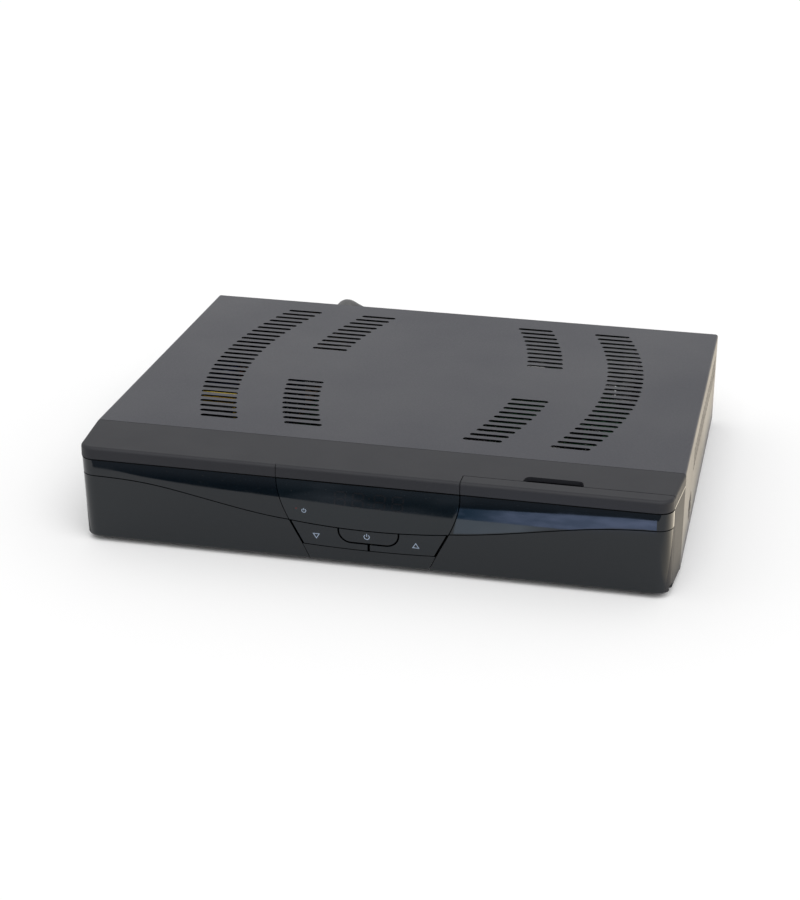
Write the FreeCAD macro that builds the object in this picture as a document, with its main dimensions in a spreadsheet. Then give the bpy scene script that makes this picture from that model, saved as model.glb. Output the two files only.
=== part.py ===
import FreeCAD, Part
import math
import os

import Sketcher
from FreeCAD import Placement, Rotation, Vector

# A satellite TV receiver, in millimetres. +X is to the right of someone who faces the front, the front looks
# along -Y, +Z is up. The origin is on the table, under the middle of the receiver from its front lip to the
# tips of its aerial connectors. Heights named "Up" are measured from the underside of the casing, distances
# named "In" forward from the rear edge of the cover, and distances named "Back" backward from the front lip.

SIZES = {
    # the casing as a whole
    "bodyWidth": 280, "bodyDepth": 231.3, "bodyHeight": 48, "noseDepth": 34.3, "connectorReach": 9.5,
    "footHeight": 2.5, "footRadius": 8, "footSideInset": 22, "footRearInset": 24, "footFrontInset": 42,
    # bent steel cover
    "coverWall": 0.7, "edgeRadius": 1.5, "tabWidth": 12, "tabHeight": 9, "tabSideInset": 46,
    "ventPitch": 6.24, "ventLength": 18.6, "ventWidth": 2.85, "ventFirstIn": 16.8, "ventFrontMargin": 16,
    "ventEndX": 84.9, "ventSagitta": 14.9, "ventInnerShift": 41.5, "ventInnerRows": 10,
    "sideVentWidth": 2.2, "sideVentHeight": 12, "sideVentUp": 27.5, "sideVentFirstIn": 12, "sideVentMargin": 3.5,
    "dimpleDepth": 1.3, "dimpleRadius": 7.5, "dimpleFloorRadius": 5, "dimpleBehindSeam": 42, "dimpleUp": 14,
    # steel tray and rear panel
    "baseWall": 0.8, "trayFlange": 22, "trayFrontFlange": 5, "rearWall": 0.8, "rearFlange": 8,
    "panelGap": 0.3, "tabGap": 0.1, "flangeGap": 1, "trayVentIn": 40, "trayVentMargin": 30,
    "trayVentPitch": 9.36,
    # plastic front
    "bezelWall": 2, "lipHeight": 5.8, "grooveHeight": 0.9, "grooveDepth": 1, "lipStand": 0.6,
    "faceLean": 5.5, "noseTaper": 3.1, "cornerRadius": 7, "bottomRound": 1.2, "seamGap": 0.4,
    "thinGap": 0.3, "trimGap": 0.5, "doorDepth": 8.2, "recessBack": 18, "recessWall": 1.5, "recessGap": 0.9,
    "frameWall": 1.2, "rimDepth": 4, "rimWall": 1.2, "seamTopX": 42.4, "seamShoulderX": 41.2,
    "seamShoulderUp": 31, "seamMidX": 37.2, "seamMidUp": 20.2, "seamFootX": 27.8, "sweepLow": 20,
    "leftSweepHigh": 33.4, "leftSweepStart": 28, "leftSweepEnd": 124, "rightSweepHigh": 33.1,
    "rightSweepStart": 24, "rightSweepEnd": 130, "centreDip": 18, "trimThickness": 0.8, "lensThickness": 2,
    "windowWidth": 66, "windowLowUp": 23.5, "windowHighDown": 1.8, "notchWidth": 28.5, "notchDepth": 6,
    "notchFromSeam": 40.8, "notchRound": 2.5,
    # three push buttons
    "buttonGap": 0.85, "buttonThickness": 1.4, "buttonTravel": 0.5, "buttonLowUp": 7.1, "buttonLowRise": 1.15,
    "powerHalfWidth": 14.1, "powerLowUp": 11, "powerRound": 6, "slotWidth": 1.2, "bossRadius": 2,
    "arrowX": 22.4, "switchUp": 13,
    # hinge of the flap
    "hingeUp": 3.2, "hingeIn": 9.7, "pinRadius": 1, "pinPlay": 0.05, "knuckleRadius": 1.7,
    "bracketWidth": 3, "earWidth": 2.6, "earGap": 0.3, "hingeInset": 11, "catchSideInset": 18,
    "catchWidth": 8, "catchHeight": 4,
    # front board
    "boardThickness": 1.6, "frontBoardLeft": 58, "frontBoardRight": 25.6, "frontBoardLowUp": 3.5,
    "frontBoardTopGap": 0.6, "frontBoardBack": 11.7, "postRadius": 2.5, "postX": 20, "postLowUp": 5.6,
    "postHighDown": 5.5, "plungerRadius": 1.75, "switchSide": 6, "switchHeight": 3.5, "plungerReach": 5,
    "displayX": 3, "displayWidth": 40, "displayHeight": 11, "displayDown": 7.3, "displayDepth": 6.5,
    "ledX": 31.2, "ledUp": 25.5, "ledRadius": 1.5, "ledReach": 6, "eyeX": 26, "eyeWidth": 6, "eyeHeight": 7,
    "eyeDepth": 5,
    # boards on the tray
    "standoffHeight": 6, "standoffRadius": 3, "screwRadius": 1.45, "screwPlay": 0.05, "headRadius": 2.8,
    "headHeight": 1.8, "screwLength": 6, "boardScrewLength": 7, "boardHoleInset": 6, "boardSideInset": 6,
    "boardGap": 2.5, "mainBoardRearIn": 6, "mainBoardFrontBack": 25.3, "mainHoleRearIn": 58,
    "standoffGap": 0.2, "psuBoardWidth": 60, "psuBoardRearIn": 22, "psuBoardBehindSeam": 23,
    "sheetMargin": 1, "sheetEndMargin": 3, "sheetThickness": 0.4,
    # supply parts
    "coreSide": 34, "coreIn": 127, "coreWidth": 28, "coreDepth": 11, "coreHeight": 33, "coreBar": 4.2,
    "coilDepth": 27, "bulkSide": 18, "bulkIn": 74, "bulkRadius": 9, "bulkHeight": 26, "outCapRadius": 5,
    "outCapHeight": 20, "outCapSide": 5, "outCapIn": 60, "outCapPitch": 14, "sinkSide": 47, "sinkIn": 92,
    "sinkLength": 42, "sinkHeight": 26, "sinkWall": 2, "sinkFin": 9, "chokeSide": 22, "chokeIn": 42,
    "chokeWidth": 22, "chokeDepth": 18, "chokeHeight": 20, "fuseSide": 46, "fuseIn": 36, "fuseRadius": 3,
    "fuseLength": 20,
    # parts of the main board
    "chipX": 20, "chipIn": 105, "chipSide": 27, "chipHeight": 2.2, "coolerSide": 31, "coolerBase": 2.5,
    "coolerHeight": 11, "coolerFins": 7, "finWall": 1.2, "memoryX": 38.5, "memoryIn": 82, "memoryWidth": 11,
    "memoryDepth": 8, "memoryHeight": 1.2, "memoryPitch": 15, "smallCapRadius": 3, "smallCapHeight": 8,
    "smallCapX": 28, "smallCapIn": 48, "smallCapPitch": 22, "smallCapFrontIn": 26, "ribbonEndIn": 8,
    "cageSideIn": 9, "cageWidth": 60, "cageDepth": 90, "cageHeight": 16, "cageGap": 0.3, "cardWidth": 55,
    "cardHeight": 5.2, "cardLowUp": 1.6, "cardPitch": 7.4, "cageWall": 1.4, "mouthPlay": 0.8,
    "readerDepth": 62, "readerHeight": 6.4, "chipCardUp": 2.8, "chipCardHeight": 1.6, "chipCardDepth": 50,
    "ribbonWidth": 14, "ribbonThickness": 0.3, "ribbonX": 8, "harnessIn": 134, "harnessReach": 8,
    "harnessWidth": 16, "harnessThickness": 1.6, "harnessRise": 6,
    # sockets on the rear panel
    "cutPlay": 0.4, "socketGap": 0.2, "socketProud": 0.1, "canWidth": 42, "canDepth": 48, "canHeight": 15,
    "canSideIn": 0.5, "socketRowIn": 2.5, "aerialSpacing": 20, "aerialUp": 8, "aerialRadius": 4.7,
    "aerialRootRadius": 5.3, "nutPlay": 0.03, "nutRunOut": 0.3, "aerialChamfer": 0.6, "aerialBore": 2.2,
    "aerialBoreDepth": 7, "nutRadius": 7.2, "nutHeight": 2, "usbWidth": 14.4, "usbHeight": 7,
    "usbDepth": 17, "usbMouthWidth": 12.4, "usbMouthHeight": 4.9, "usbMouthDepth": 12, "hdmiWidth": 15,
    "hdmiHeight": 6.4, "hdmiDepth": 13, "hdmiMouthWidth": 13.8, "hdmiMouthHeight": 4.6, "hdmiMouthDepth": 9,
    "ethernetWidth": 16, "ethernetHeight": 13.5, "ethernetDepth": 21, "ethernetMouthWidth": 11.8,
    "ethernetMouthHeight": 8, "ethernetMouthDepth": 13, "opticalWidth": 9.8, "opticalHeight": 10,
    "opticalDepth": 13, "plugRadius": 3.6, "plugStand": 1.2, "phonoPitch": 14, "phonoBlockDepth": 10,
    "phonoDown": 15.5, "phonoPad": 7, "phonoRadius": 4.15, "phonoReach": 8.2, "phonoBore": 1.7,
    "phonoBoreDepth": 7, "phonoCollar": 5, "phonoCollarProud": 0.6, "scartWidth": 47, "scartHeight": 15.5,
    "scartDepth": 20,
    "scartGroove": 2.2, "scartGrooveDepth": 9, "scartRim": 1.4, "scartSlant": 4,
    # mains side of the rear panel
    "switchSideInset": 28, "mainsSwitchUp": 26, "switchFlangeWidth": 15, "switchFlangeHeight": 21,
    "switchFlange": 1.5, "switchBodyWidth": 12.6, "switchBodyHeight": 18.8, "switchBodyDepth": 14,
    "rockerHalfWidth": 5.2, "rockerHalfHeight": 7.2, "rockerPlay": 0.4, "rockerRidge": 3.4,
    "rockerEnd": 4.8, "rockerTilt": 10, "pivotIn": 2, "pivotRadius": 1, "pivotReach": 0.7,
    "leadSideInset": 61, "leadUp": 31.5, "leadRadius": 3.5, "reliefLength": 21.8, "reliefRoot": 6.5,
    "reliefTip": 4.6, "reliefFlange": 8, "reliefFlangeWall": 2, "reliefNeck": 5.4, "reliefCollar": 6.6,
    "reliefCollarLength": 6,
    # the coil that puts the lead away, its tie and its plug
    "coilAside": 42, "coilBehind": 46, "coilTurn": 35, "tieWidth": 8, "tieThickness": 0.6,
    "tieBearing": 210, "plugLength": 36, "plugWidth": 35, "plugHeight": 13.7, "plugNeck": 15,
    "plugPinRadius": 2, "plugPinLength": 19, "plugPinSpacing": 18.6,
}

doc = FreeCAD.newDocument("receiver")
sheet = doc.addObject("Spreadsheet::Sheet", "sizes")
for row, (word, number) in enumerate(SIZES.items(), start=1):
    sheet.set("A%d" % row, word)
    sheet.set("B%d" % row, str(number))
    sheet.setAlias("B%d" % row, word)
doc.recompute()


class Size:
    """A length worked out from the sheet: the expression that gives it, and its value."""

    def __init__(self, text, value):
        self.text = text
        self.value = value

    def __float__(self):
        return self.value

    def __add__(self, other):
        return joined(self, "+", other)

    def __radd__(self, other):
        return joined(other, "+", self)

    def __sub__(self, other):
        return joined(self, "-", other)

    def __rsub__(self, other):
        return joined(other, "-", self)

    def __mul__(self, other):
        return joined(self, "*", other)

    def __rmul__(self, other):
        return joined(other, "*", self)

    def __truediv__(self, other):
        return joined(self, "/", other)

    def __neg__(self):
        return joined(0, "-", self)


def size_of(thing):
    if isinstance(thing, Size):
        return thing
    return Size("(%r)" % float(thing), float(thing))


def joined(left, sign, right):
    left, right = size_of(left), size_of(right)
    values = {"+": left.value + right.value, "-": left.value - right.value, "*": left.value * right.value}
    if sign == "/":
        values["/"] = left.value / right.value
    return Size("(%s %s %s)" % (left.text, sign, right.text), values[sign])


class Sheet:
    """Each size of the sheet, by its name."""

    def __getattr__(self, word):
        return Size("sizes." + word, float(sheet.get(word)))


s = Sheet()

# Planes and heights that several pieces share.
rear = (s.bodyDepth - s.connectorReach) / 2
front = rear - s.bodyDepth
seam = front + s.noseDepth
bottom = s.footHeight
top = bottom + s.bodyHeight
half = s.bodyWidth / 2
lip_low = top - s.lipHeight
groove_low = lip_low - s.grooveHeight
tray_top = bottom + s.baseWall
board_low = tray_top + s.standoffHeight
board_top = board_low + s.boardThickness
panel_out = rear - s.coverWall - s.tabGap
panel_in = panel_out - s.rearWall
tray_half = half - s.coverWall - s.dimpleDepth
tray_front = seam + s.rimDepth + s.flangeGap
dimple_y = seam + s.dimpleBehindSeam
tab_xs = (s.tabSideInset - half, size_of(0), half - s.tabSideInset)

# Edges of the two boards, and the pieces placed from them.
psu_left = s.boardSideInset - half
psu_right = psu_left + s.psuBoardWidth
psu_front = seam + s.psuBoardBehindSeam
psu_rear = rear - s.psuBoardRearIn
main_left = psu_right + s.boardGap
main_right = half - s.boardSideInset
main_front = front + s.mainBoardFrontBack
main_rear = rear - s.mainBoardRearIn
core_x = psu_left + s.coreSide
can_right = main_right - s.canSideIn
can_left = can_right - s.canWidth
can_x = can_right - s.canWidth / 2
cage_x = main_right - s.cageSideIn - s.cageWidth / 2
cage_front = front + s.recessBack + s.recessWall + s.cageGap
switch_x = s.switchSideInset - half
lead_x = s.leadSideInset - half

nodes = {}


# ---- small helpers ----

def vec(x, y, z):
    return Vector(float(x), float(y), float(z))


def bind(item, **values):
    for word, value in values.items():
        item.setExpression(word, size_of(value).text)


def put(item, x, y, z):
    """Place an object at a point worked out from the sheet."""
    for axis, value in zip("xyz", (x, y, z)):
        item.setExpression("Placement.Base." + axis, size_of(value).text)


def block(name, x, y, z):
    """A box between two bounds on each axis."""
    box = doc.addObject("Part::Box", name)
    spans = [size_of(high) - low for low, high in (x, y, z)]
    bind(box, Length=spans[0], Width=spans[1], Height=spans[2])
    put(box, x[0], y[0], z[0])
    return box


AXES = {"X": Vector(1, 0, 0), "Y": Vector(0, 1, 0), "Z": Vector(0, 0, 1)}


def rod(name, radius, start, length, axis="Z"):
    """A cylinder from a start point along an axis."""
    cylinder = doc.addObject("Part::Cylinder", name)
    bind(cylinder, Radius=radius, Height=length)
    cylinder.Placement = Placement(Vector(), Rotation(AXES["Z"], AXES[axis]))
    put(cylinder, *start)
    return cylinder


def cone(name, first, second, start, length, axis, turn=1):
    """A cone from a start point along an axis, or against it with turn -1."""
    item = doc.addObject("Part::Cone", name)
    bind(item, Radius1=first, Radius2=second, Height=length)
    item.Placement = Placement(Vector(), Rotation(AXES["Z"], AXES[axis] * turn))
    put(item, *start)
    return item


def fuse(name, *parts):
    result = doc.addObject("Part::MultiFuse", name)
    result.Shapes = list(parts)
    result.Refine = True
    return result


def cut(name, base, *tools):
    result = doc.addObject("Part::Cut", name)
    result.Base = base
    result.Tool = tools[0] if len(tools) == 1 else fuse(name + "Tools", *tools)
    return result


def group(name, parts):
    """Pieces that are alike, kept as separate solids of one node."""
    result = doc.addObject("Part::Compound", name)
    result.Links = list(parts)
    return result


def feature(name, shape, place=None):
    """A shape made by code, for forms that the primitives and bodies do not give."""
    item = doc.addObject("Part::Feature", name)
    item.Shape = shape
    if place is not None:
        item.Placement = place
    return item


def node(label, item):
    item.Label = label
    nodes[label] = item
    return item


def sketch_in(body, role, name, lift=None):
    """A sketch on one of a body's own origin planes, lifted along the plane's normal."""
    sketch = body.newObject("Sketcher::SketchObject", name)
    plane = [item for item in body.Origin.OriginFeatures if item.Role == role][0]
    sketch.AttachmentSupport = [(plane, "")]
    sketch.MapMode = "FlatFace"
    if lift is not None:
        sketch.setExpression("AttachmentOffset.Base.z", size_of(lift).text)
    return sketch


def pin_point(sketch, shape, corner, x, y):
    """Hold one point of a sketch at two distances from its origin."""
    for kind, value in (("DistanceX", x), ("DistanceY", y)):
        index = sketch.addConstraint(Sketcher.Constraint(kind, -1, 1, shape, corner, float(value)))
        sketch.setExpression("Constraints[%d]" % index, size_of(value).text)


def outline(sketch, points):
    """A closed outline of straight lines, each corner held from the origin."""
    corners = [Vector(float(x), float(y), 0) for x, y in points]
    first = sketch.GeometryCount
    count = len(corners)
    for index in range(count):
        sketch.addGeometry(Part.LineSegment(corners[index], corners[(index + 1) % count]))
    for index in range(count):
        nxt = first + (index + 1) % count
        sketch.addConstraint(Sketcher.Constraint("Coincident", first + index, 2, nxt, 1))
    for index, (x, y) in enumerate(points):
        pin_point(sketch, first + index, 1, x, y)


def round_hole(sketch, x, y, radius):
    index = sketch.addGeometry(Part.Circle(Vector(float(x), float(y), 0), Vector(0, 0, 1), float(radius)))
    pin_point(sketch, index, 3, x, y)
    number = sketch.addConstraint(Sketcher.Constraint("Radius", index, float(radius)))
    sketch.setExpression("Constraints[%d]" % number, size_of(radius).text)


def padded(name, role, points, low, length, holes=()):
    """A body: one outline with its round holes, padded along the plane's normal."""
    body = doc.addObject("PartDesign::Body", name)
    sketch = sketch_in(body, role, name + "Sketch", low)
    if points:
        outline(sketch, points)
    for x, y, radius in holes:
        round_hole(sketch, x, y, radius)
    pad = body.newObject("PartDesign::Pad", name + "Pad")
    pad.Profile = sketch
    pad.setExpression("Length", size_of(length).text)
    return body


def turned(name, points):
    """A body turned about Z from half its outline, given as radius and height."""
    body = doc.addObject("PartDesign::Body", name)
    sketch = sketch_in(body, "XZ_Plane", name + "Sketch")
    outline(sketch, points)
    turn = body.newObject("PartDesign::Revolution", name + "Turn")
    turn.Profile = sketch
    turn.ReferenceAxis = (sketch, ["V_Axis"])
    turn.Angle = 360
    return body


def copies(label, item, places):
    """Copies of one body, each at its own placement, as one node."""
    doc.recompute()
    shapes = []
    for place in places:
        shape = item.Shape.copy()
        shape.Placement = place.multiply(shape.Placement)
        shapes.append(shape)
    return node(label, feature(label, Part.makeCompound(shapes)))


def facing(axis, x, y, z):
    """The placement that turns +Z to an axis, at a point."""
    return Placement(vec(x, y, z), Rotation(Vector(0, 0, 1), axis))


def prism(points, travel):
    """A flat polygon pushed along a vector."""
    ring = [vec(*point) for point in points]
    return Part.Face(Part.makePolygon(ring + ring[:1])).extrude(vec(*travel))


def slab(low, high):
    """Everything of the casing between two heights."""
    return prism([(-half - 9, front - 9, low), (half + 9, front - 9, low), (half + 9, rear, low),
                  (-half - 9, rear, low)], (0, 0, high - low))


# ---- the rounded plastic front ----

def face_y(height):
    """Where the leaning front face stands at a height."""
    return front + s.lipStand + s.faceLean * ((lip_low - height) / (lip_low - bottom))


def front_zone(depth):
    """Everything ahead of a plane that leans with the front face, at a depth behind it."""
    low, high = bottom - 3, top + 3
    points = [(-half - 9, front - 12, low), (-half - 9, face_y(low) + depth, low),
              (-half - 9, face_y(high) + depth, high), (-half - 9, front - 12, high)]
    return prism(points, (s.bodyWidth + 18, 0, 0))


def corner_edges(solid):
    """The two steep edges where the front face meets the sides."""
    edges = []
    for edge in solid.Edges:
        tall = edge.BoundBox.ZLength > 0.9 * solid.BoundBox.ZLength
        if tall and edge.BoundBox.YMax < float(seam) - 10:
            edges.append(edge)
    return edges


def level_edges(solid, height):
    """The edges at one height, but for the one at the open back."""
    edges = []
    for edge in solid.Edges:
        box = edge.BoundBox
        level = abs(box.ZMin - float(height)) < 0.01 and abs(box.ZMax - float(height)) < 0.01
        if level and box.YMin < float(seam) - 1:
            edges.append(edge)
    return edges


def nose(inset, upright=False):
    """The front end of the casing as one solid, drawn in by inset on every side but the back."""
    slope = s.noseTaper / (seam - front)
    ahead = front - 8
    wide = half - inset
    narrow = wide - slope * (seam - ahead)
    plan = prism([(-wide, seam, bottom + inset), (wide, seam, bottom + inset),
                  (narrow, ahead, bottom + inset), (-narrow, ahead, bottom + inset)],
                 (0, 0, s.bodyHeight - 2 * size_of(inset)))
    if upright:
        cutter = prism([(-half - 9, front - 12, 0), (half + 9, front - 12, 0), (half + 9, front + inset, 0),
                        (-half - 9, front + inset, 0)], (0, 0, top + 9))
    else:
        cutter = front_zone(inset)
    solid = plan.cut(cutter)
    return solid.makeFillet(float(s.cornerRadius - inset), corner_edges(solid))


def arc_through(points):
    """A round edge through three points, or a straight one where they are level."""
    first, middle, last = [vec(*point) for point in points]
    if abs(middle.z - first.z) < 0.001:
        return Part.LineSegment(first, last).toShape()
    return Part.Arc(first, middle, last).toShape()


def smooth_through(points):
    """One smooth edge through points of the front plane, given as x and height."""
    curve = Part.BSplineCurve()
    curve.interpolate([vec(x, front - 12, z) for x, z in points])
    return curve.toShape()


def pushed_back(edges):
    """A closed outline in front of the casing, pushed back through its front end."""
    return Part.Face(Part.Wire(edges)).extrude(vec(0, s.noseDepth + 12, 0))


def line(first, second):
    ends = [vec(x, front - 12, z) for x, z in (first, second)]
    return Part.LineSegment(ends[0], ends[1]).toShape()


def right_of_seam(gap):
    """Everything to the right of the curved seam that borders the flap."""
    over, under, wide = top + 6, bottom - 6, half + 9
    curve = [(s.seamTopX + gap, lip_low), (s.seamShoulderX + gap, bottom + s.seamShoulderUp),
             (s.seamMidX + gap, bottom + s.seamMidUp), (s.seamFootX + gap, bottom)]
    edges = [line((curve[0][0], over), curve[0]), smooth_through(curve),
             line(curve[-1], (curve[-1][0], under)), line((curve[-1][0], under), (wide, under)),
             line((wide, under), (wide, over)),
             line((wide, over), (curve[0][0], over))]
    return pushed_back(edges)


def left_of_seam(gap):
    return right_of_seam(gap).mirror(Vector(), Vector(1, 0, 0))


def between_seams(gap):
    """Everything between the two curved seams, gap inside them."""
    whole = pushed_back([line((-half, -6), (half, -6)), line((half, -6), (half, top + 6)),
                         line((half, top + 6), (-half, top + 6)), line((-half, top + 6), (-half, -6))])
    return whole.cut(right_of_seam(-gap)).cut(left_of_seam(-gap))


def sweep_height(distance, start, end, high):
    """The long seam climbs from the middle to the corner along a smooth step."""
    share = min(max((distance - float(start)) / float(end - start), 0), 1)
    climb = share * share * (3 - 2 * share)
    return bottom + s.sweepLow + (high - s.sweepLow) * climb


def trim_region(side, gap):
    """The band between the long seam and the groove, on one side, grown by gap."""
    if side > 0:
        start, end, high = s.rightSweepStart, s.rightSweepEnd, s.rightSweepHigh
        inner = s.seamGap
    else:
        start, end, high = s.leftSweepStart, s.leftSweepEnd, s.leftSweepHigh
        inner = s.thinGap
    stops = [float(s.seamMidX) - 6, 50, 68, 86, 104, float(half) - 8, float(half) + 9]
    curve = [(side * stop, sweep_height(stop, start, end, high) - gap) for stop in stops]
    crown = groove_low + gap
    edges = [smooth_through(curve), line(curve[-1], (curve[-1][0], crown)),
             line((curve[-1][0], crown), (curve[0][0], crown)), line((curve[0][0], crown), curve[0])]
    beyond = right_of_seam(inner - gap) if side > 0 else left_of_seam(inner - gap)
    return pushed_back(edges).common(beyond)


def centre_band(low, high, gap):
    """The middle of the front between two shallow arcs, given as end and middle heights."""
    wide = s.seamTopX + 6

    def arc(ends, middle, shift, turn):
        rise = (ends - middle) * ((wide / s.seamMidX) * (wide / s.seamMidX)) + middle + shift
        return arc_through([(-wide * turn, front - 12, rise), (0, front - 12, middle + shift),
                            (wide * turn, front - 12, rise)]), rise

    under, under_end = arc(low[0], low[1], gap, 1)
    over, over_end = arc(high[0], high[1], -gap, -1)
    edges = [under, line((wide, under_end), (wide, over_end)), over,
             line((-wide, over_end), (-wide, under_end))]
    return pushed_back(edges)


sweep_ends = (bottom + s.seamMidUp, bottom + s.centreDip)
button_foot = (bottom + s.buttonLowUp + s.buttonLowRise, bottom + s.buttonLowUp)
crown_line = (groove_low, groove_low)


def power_shape(grow):
    """The D of the power button: straight top, round lower corners."""
    wide, low, high = s.powerHalfWidth + grow, bottom + s.powerLowUp - grow, top
    solid = pushed_back([line((-wide, low), (wide, low)), line((wide, low), (wide, high)),
                         line((wide, high), (-wide, high)), line((-wide, high), (-wide, low))])
    edges = [edge for edge in solid.Edges
             if edge.BoundBox.YLength > 5 and edge.BoundBox.ZMax < float(low) + 0.01]
    return solid.makeFillet(float(s.powerRound + grow), edges)


def skin(outer_depth, inner_depth):
    """A layer of the front end between two depths."""
    return nose(outer_depth).cut(nose(inner_depth))


def make_front():
    """The whole shell of the front end, before it is divided at its seams."""
    below = nose(0).common(slab(bottom, lip_low))
    below = below.makeFillet(float(s.bottomRound), level_edges(below, bottom))
    crown = nose(0, upright=True).common(slab(lip_low, top))
    crown = crown.makeFillet(float(s.edgeRadius), level_edges(crown, top))
    groove = skin(0, s.grooveDepth).common(slab(groove_low, lip_low)).common(front_zone(s.doorDepth - 1))
    return below.fuse(crown).cut(groove).cut(nose(s.bezelWall))


def make_rim():
    """The thin rim of the bezel that the cover slides over."""
    play = 0.15
    outside = s.coverWall + play
    inside = outside + s.rimWall

    def ring(inset, low):
        wide = half - inset
        return prism([(-wide, seam - 3, low), (wide, seam - 3, low), (wide, seam + s.rimDepth, low),
                      (-wide, seam + s.rimDepth, low)], (0, 0, top - inset - low))

    return ring(outside, tray_top + s.trayFrontFlange + 1).cut(ring(inside, bottom))


def make_recess():
    """The wall behind the flap with its card mouths, and the slanted wall beside it."""
    room = nose(s.bezelWall)
    face, back = front + s.recessBack, front + s.recessBack + s.recessWall
    flat = prism([(-half, face, 0), (half, face, 0), (half, back, 0), (-half, back, 0)], (0, 0, top))
    ahead = prism([(-half, front - 12, 0), (half, front - 12, 0), (half, back, 0), (-half, back, 0)],
                  (0, 0, top))
    wall = flat.common(right_of_seam(-s.recessWall - s.recessGap))
    side = right_of_seam(-s.recessWall - s.recessGap).cut(right_of_seam(-s.recessGap)).common(ahead)
    side = side.cut(front_zone(s.bezelWall + s.frameWall))
    return wall.fuse(side).common(room)


def card_mouths(play, start, end):
    """The mouths for two modules and one smart card, grown by play."""
    mouths = []
    lows = [board_top + s.cardLowUp, board_top + s.cardLowUp + s.cardPitch]
    for low in lows:
        mouths.append((low, s.cardHeight))
    mouths.append((board_top + s.cageHeight + s.chipCardUp, s.chipCardHeight))
    solids = []
    for low, tall in mouths:
        left, right = cage_x - s.cardWidth / 2 - play, cage_x + s.cardWidth / 2 + play
        solids.append(prism([(left, start, low - play), (right, start, low - play), (right, end, low - play),
                             (left, end, low - play)], (0, 0, tall + 2 * play)))
    return solids


hinge_y = front + s.hingeIn
hinge_z = bottom + s.hingeUp
hinge_left = s.seamTopX + s.hingeInset
hinge_right = half - s.noseTaper - s.hingeInset


def along_x(radius, start, length, y, z):
    return Part.makeCylinder(float(radius), float(length), vec(start, y, z), Vector(1, 0, 0))


def bracket(start):
    """One arm of the bezel that holds a hinge pin."""
    arm = prism([(start, hinge_y, hinge_z - s.knuckleRadius), (start, hinge_y, hinge_z + s.knuckleRadius),
                 (start, front + s.recessBack + 0.5, hinge_z + s.knuckleRadius + 1.5),
                 (start, front + s.recessBack + 0.5, hinge_z - s.knuckleRadius)], (s.bracketWidth, 0, 0))
    arm = arm.fuse(along_x(s.knuckleRadius, start, s.bracketWidth, hinge_y, hinge_z))
    return arm.cut(along_x(s.pinRadius + s.pinPlay, start - 1, s.bracketWidth + 2, hinge_y, hinge_z))


def ear(start):
    """One ear of the flap that turns on a hinge pin."""
    web = prism([(start, face_y(hinge_z) + 1, bottom + 1), (start, hinge_y, bottom + 1),
                 (start, hinge_y, hinge_z + s.knuckleRadius), (start, face_y(hinge_z) + 1, hinge_z + 5)],
                (s.earWidth, 0, 0))
    web = web.fuse(along_x(s.knuckleRadius, start, s.earWidth, hinge_y, hinge_z))
    return web.cut(along_x(s.pinRadius + s.pinPlay, start - 1, s.earWidth + 2, hinge_y, hinge_z))


bracket_starts = (hinge_left, hinge_right - s.bracketWidth)
ear_starts = (hinge_left + s.bracketWidth + s.earGap, hinge_right - s.bracketWidth - s.earGap - s.earWidth)


def make_foot_room():
    """Space for the lower left corner of the flap, which swings back under the bezel."""
    layer = front_zone(s.doorDepth + s.seamGap).cut(front_zone(s.bezelWall + s.frameWall))
    return layer.common(right_of_seam(-s.recessGap)).common(slab(bottom - 3, board_low))


def make_bezel(shell):
    """Top strip, sides, left fascia and the recess behind the flap, in one moulding."""
    door_room = front_zone(s.doorDepth + s.seamGap).common(right_of_seam(0))
    panel_room = front_zone(s.bezelWall).common(between_seams(-s.thinGap))
    panel_room = panel_room.cut(right_of_seam(0))
    bezel = shell.cut(door_room).cut(panel_room).cut(make_foot_room())
    pocket = skin(0, s.trimThickness).common(trim_region(-1, s.trimGap)).common(front_zone(s.doorDepth - 1))
    bezel = bezel.cut(pocket).fuse(make_recess()).fuse(make_rim())
    for mouth in card_mouths(s.mouthPlay, front + s.recessBack - 1, front + s.recessBack + s.recessWall + 1):
        bezel = bezel.cut(mouth)
    for start in bracket_starts:
        bezel = bezel.fuse(bracket(start))
    bezel = bezel.cut(make_notch())
    return node("front_bezel", feature("front_bezel", bezel.removeSplitter()))


def make_notch():
    """The finger notch in the top strip, behind the upper edge of the flap."""
    start = face_y(top) + s.doorDepth - 2
    end = face_y(top) + s.doorDepth + s.notchDepth
    wide, narrow = s.notchWidth / 2, s.notchWidth / 2 - 1.6
    x = s.seamTopX + s.notchFromSeam
    solid = prism([(x - wide, start, top - 9), (x + wide, start, top - 9), (x + narrow, end, top - 9),
                   (x - narrow, end, top - 9)], (0, 0, 12))
    edges = [edge for edge in solid.Edges
             if edge.BoundBox.ZLength > 5 and edge.BoundBox.YMin > float(end) - 0.1]
    return solid.makeFillet(float(s.notchRound), edges)


def make_door(shell):
    """The flap: the right third of the front with its own lip, down to the bottom edge."""
    door = shell.common(front_zone(s.doorDepth)).common(right_of_seam(s.seamGap))
    behind = prism([(0, hinge_y, 0), (half + 9, hinge_y, 0), (half + 9, seam, 0), (0, seam, 0)],
                   (0, 0, hinge_z))
    door = door.cut(behind)
    for start in bracket_starts:
        low = start - s.earGap
        slot = prism([(low, hinge_y - s.knuckleRadius - 0.4, 0), (low + s.bracketWidth + 2 * s.earGap,
                      hinge_y - s.knuckleRadius - 0.4, 0), (low + s.bracketWidth + 2 * s.earGap, seam, 0),
                      (low, seam, 0)], (0, 0, hinge_z + s.knuckleRadius + 0.4))
        door = door.cut(slot)
    for start in ear_starts:
        door = door.fuse(ear(start))
    pocket = skin(0, s.trimThickness).common(trim_region(1, s.trimGap)).common(front_zone(s.doorDepth - 1))
    return node("front_door", feature("front_door", door.cut(pocket).removeSplitter()))


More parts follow.
